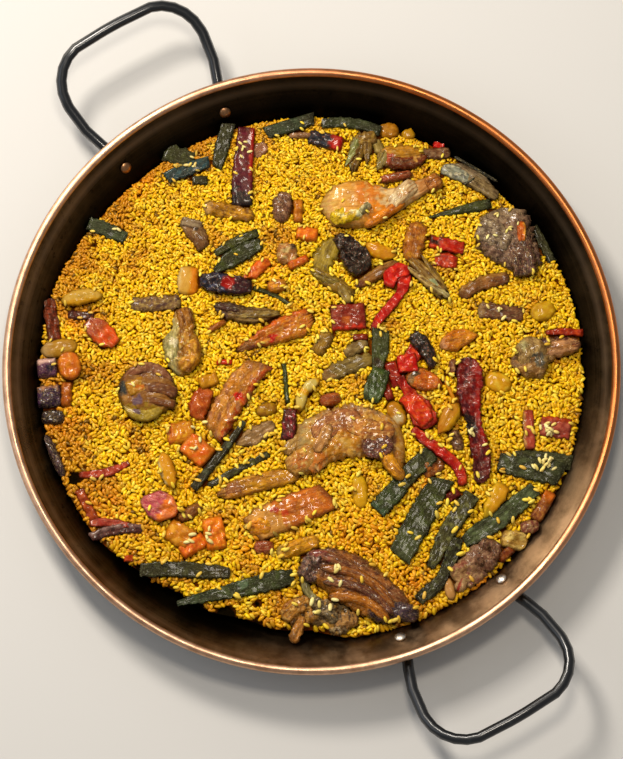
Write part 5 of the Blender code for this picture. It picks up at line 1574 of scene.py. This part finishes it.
def grainPlaces(grains, points):
    x, y, z, yaw, pitch, halfL, halfW, halfH = (grains[:, k][:, None] for k in range(8))
    a, b, c = points[:, 0] * halfL, points[:, 1] * halfW, points[:, 2] * halfH
    c = c - rice["bend"] * halfL * points[:, 0] ** 2
    along = a * np.cos(pitch) - c * np.sin(pitch)
    up = a * np.sin(pitch) + c * np.cos(pitch)
    world = np.stack([x + along * np.cos(yaw) - b * np.sin(yaw),
                      y + along * np.sin(yaw) + b * np.cos(yaw), z + up], axis=2)
    radius = np.hypot(world[..., 0], world[..., 1])
    over = (radius - np.interp(world[..., 2], wallHeights, wallRadii)).max(axis=1) + rice["wallGap"]
    inward = (np.maximum(over, 0) / np.hypot(x, y)[:, 0])[:, None, None]
    world[..., :2] -= inward * np.stack([x, y], axis=2)
    return fromServing(world.reshape(-1, 3)).reshape(world.shape) * mm


def laid(colour, tone, share):
    return colour + (linear(riceTones[tone]) - colour) * share[:, None]


def grainTones(grains, rng):
    flat = grains[:, :2]
    tones = np.array([linear(t) for t in riceTones["grains"]])
    colour = tones[rng.integers(0, len(tones), len(grains))]
    x, y = flat[:, 0], flat[:, 1]
    edge = smooth(np.hypot(x, y), *riceTones["edge"])
    left = edge * smooth(-x + 0.35 * y, 60, 190) + 0.6 * edge * smooth(-y - 0.4 * x, 60, 200)
    patches = ripple(flat, 60, 21) + 0.6 * ripple(flat, 14, 22)
    toast = smooth(patches + riceTones["edgeToast"] * left, *riceTones["toastFrom"])
    # Grains that lie lower in the bed take the toasted colour too, darkening the rice where it sinks
    low = 1 - smooth(grains[:, 2], *(riceTop - depth for depth in riceTones["lowFrom"]))
    share = np.clip(riceTones["toastShare"] * toast + riceTones["lowShare"] * low, 0, riceTones["mostToast"])
    colour = laid(colour, "toasted", share)
    core = riceTones["stainCore"]
    stained = np.max([1 - smooth(np.hypot(x - a, y - b), size * core, size) for a, b, size in stains], axis=0)
    stained = stained * smooth(ripple(flat, 9, 23), -0.8, 0.6)
    colour = laid(colour, "stain", riceTones["stainShare"] * stained)
    burnt = rng.random(len(grains)) < riceTones["burntLeast"] + riceTones["burntToast"] * toast
    colour[burnt] = linear(riceTones["burnt"])
    pale = np.minimum(grains[:, 8], 1) * rng.uniform(0.2, 1.0, len(grains))
    colour = laid(colour, "pale", riceTones["paleShare"] * pale)
    cream = (grains[:, 8] > 1.5) * rng.uniform(0.4, 1.0, len(grains))
    colour = laid(colour, "cream", cream)
    return colour * rng.uniform(riceTones["darkest"], riceTones["lightest"], (len(grains), 1))


def shadedUnderside(tones, points):
    # Painted shade: a grain is clear yellow on top and deep orange low down on it
    low = (smooth(-points[:, 2], *riceTones["underShadeFrom"]) * riceTones["underShadeShare"])[None, :, None]
    shade = tones * np.array(riceTones["under"])
    return (tones[:, None, :] * (1 - low) + shade[:, None, :] * low).reshape(-1, 3)


def riceFinish():
    f = Finish("goldenGrain", IOR=1.45, Specular_Tint="fff0b8")
    f.set("Base Color", f.mix(f.noise(900, 2) * 0.2, f.paint(), riceTones["sheen"]))
    f.set("Roughness", 0.17 + f.noise(400, 2) * 0.13)
    f.bump(f.noise(1500, 2), 0.0001, 0.4)
    return f.material


def bedFinish():
    f = Finish("saffronBedGapShade", IOR=1.12, Specular_Tint="ffc050")
    cloud = f.noise(60, 5, 0.6)
    # The bed's dark tones are partly painted shade between the grains
    tone = f.ramp(cloud, *zip((0.3, 0.5, 0.7), bed["tones"]))
    level = f.vector("MULTIPLY", f.place(), (1, 1, 0), out="Vector")
    for x, y, size in bareSpots:
        middle = fromServing(np.array([[x, y, 0.0]]))[0] * mm
        away = f.vector("DISTANCE", level, tuple(middle)) + cloud * 0.006
        # The bed is painted near black round each of these spots
        tone = f.mix(f.ramp(away, (size * 1.1 * mm, 1.0), (size * 1.5 * mm, 0.0)), tone, bed["bare"])
    f.set("Base Color", tone)
    f.set("Roughness", 0.7 + cloud * 0.2)
    f.bump(f.noise(220, 4), 0.002, 0.8)
    return f.material


def makeBed():
    # A disc of rings with the rice's own edge, down to the pan's floor
    profile = bed["foot"] + [(r, riceTop - bed["below"]) for r in reversed(bed["radii"])]
    core = turnRings("riceBed", profile, bed["turns"])
    points = toServing(coordinates(core.data)) / mm
    upper = points[:, 2] > bed["footBelow"]
    limit = reachAt(points[:, 0], points[:, 1]) - bed["edgeGap"] - edgeDip(points[:, 0], points[:, 1])
    radius = np.hypot(points[:, 0], points[:, 1])
    keep = np.where(upper & (radius > limit), limit / np.maximum(radius, 1e-6), 1)
    points[:, :2] *= keep[:, None]
    top = points[:, 2] > riceTop - bed["topFrom"]
    points[top, 2] = riceLevel(points[top, 0], points[top, 1]) - rice["coreDrop"]
    reshape(core.data, fromServing(insideWall(points)) * mm)
    core.data.materials.append(bedFinish())
    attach(core, "root")
    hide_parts("rice")


def makeRice(pieces):
    points, faces = grainBlank()
    grains = dropGrains(pieces)
    tones = grainTones(grains, np.random.default_rng(rice["toneSeed"]))
    finish = riceFinish()
    for index in range(0, len(grains), rice["perPiece"]):
        some = grains[index:index + rice["perPiece"]]
        piece = joinedCopies(f"riceGrains_{index // rice['perPiece'] + 1}", points, faces,
                             grainPlaces(some, points))
        storePaint(piece.data, shadedUnderside(tones[index:index + rice["perPiece"]], points))
        piece.data.materials.append(finish)
        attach(piece, "root")
        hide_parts("rice")
    say(f"{len(grains)} grains of rice are in")


makeBed()
makeRice(nodeToppings + smallToppings)
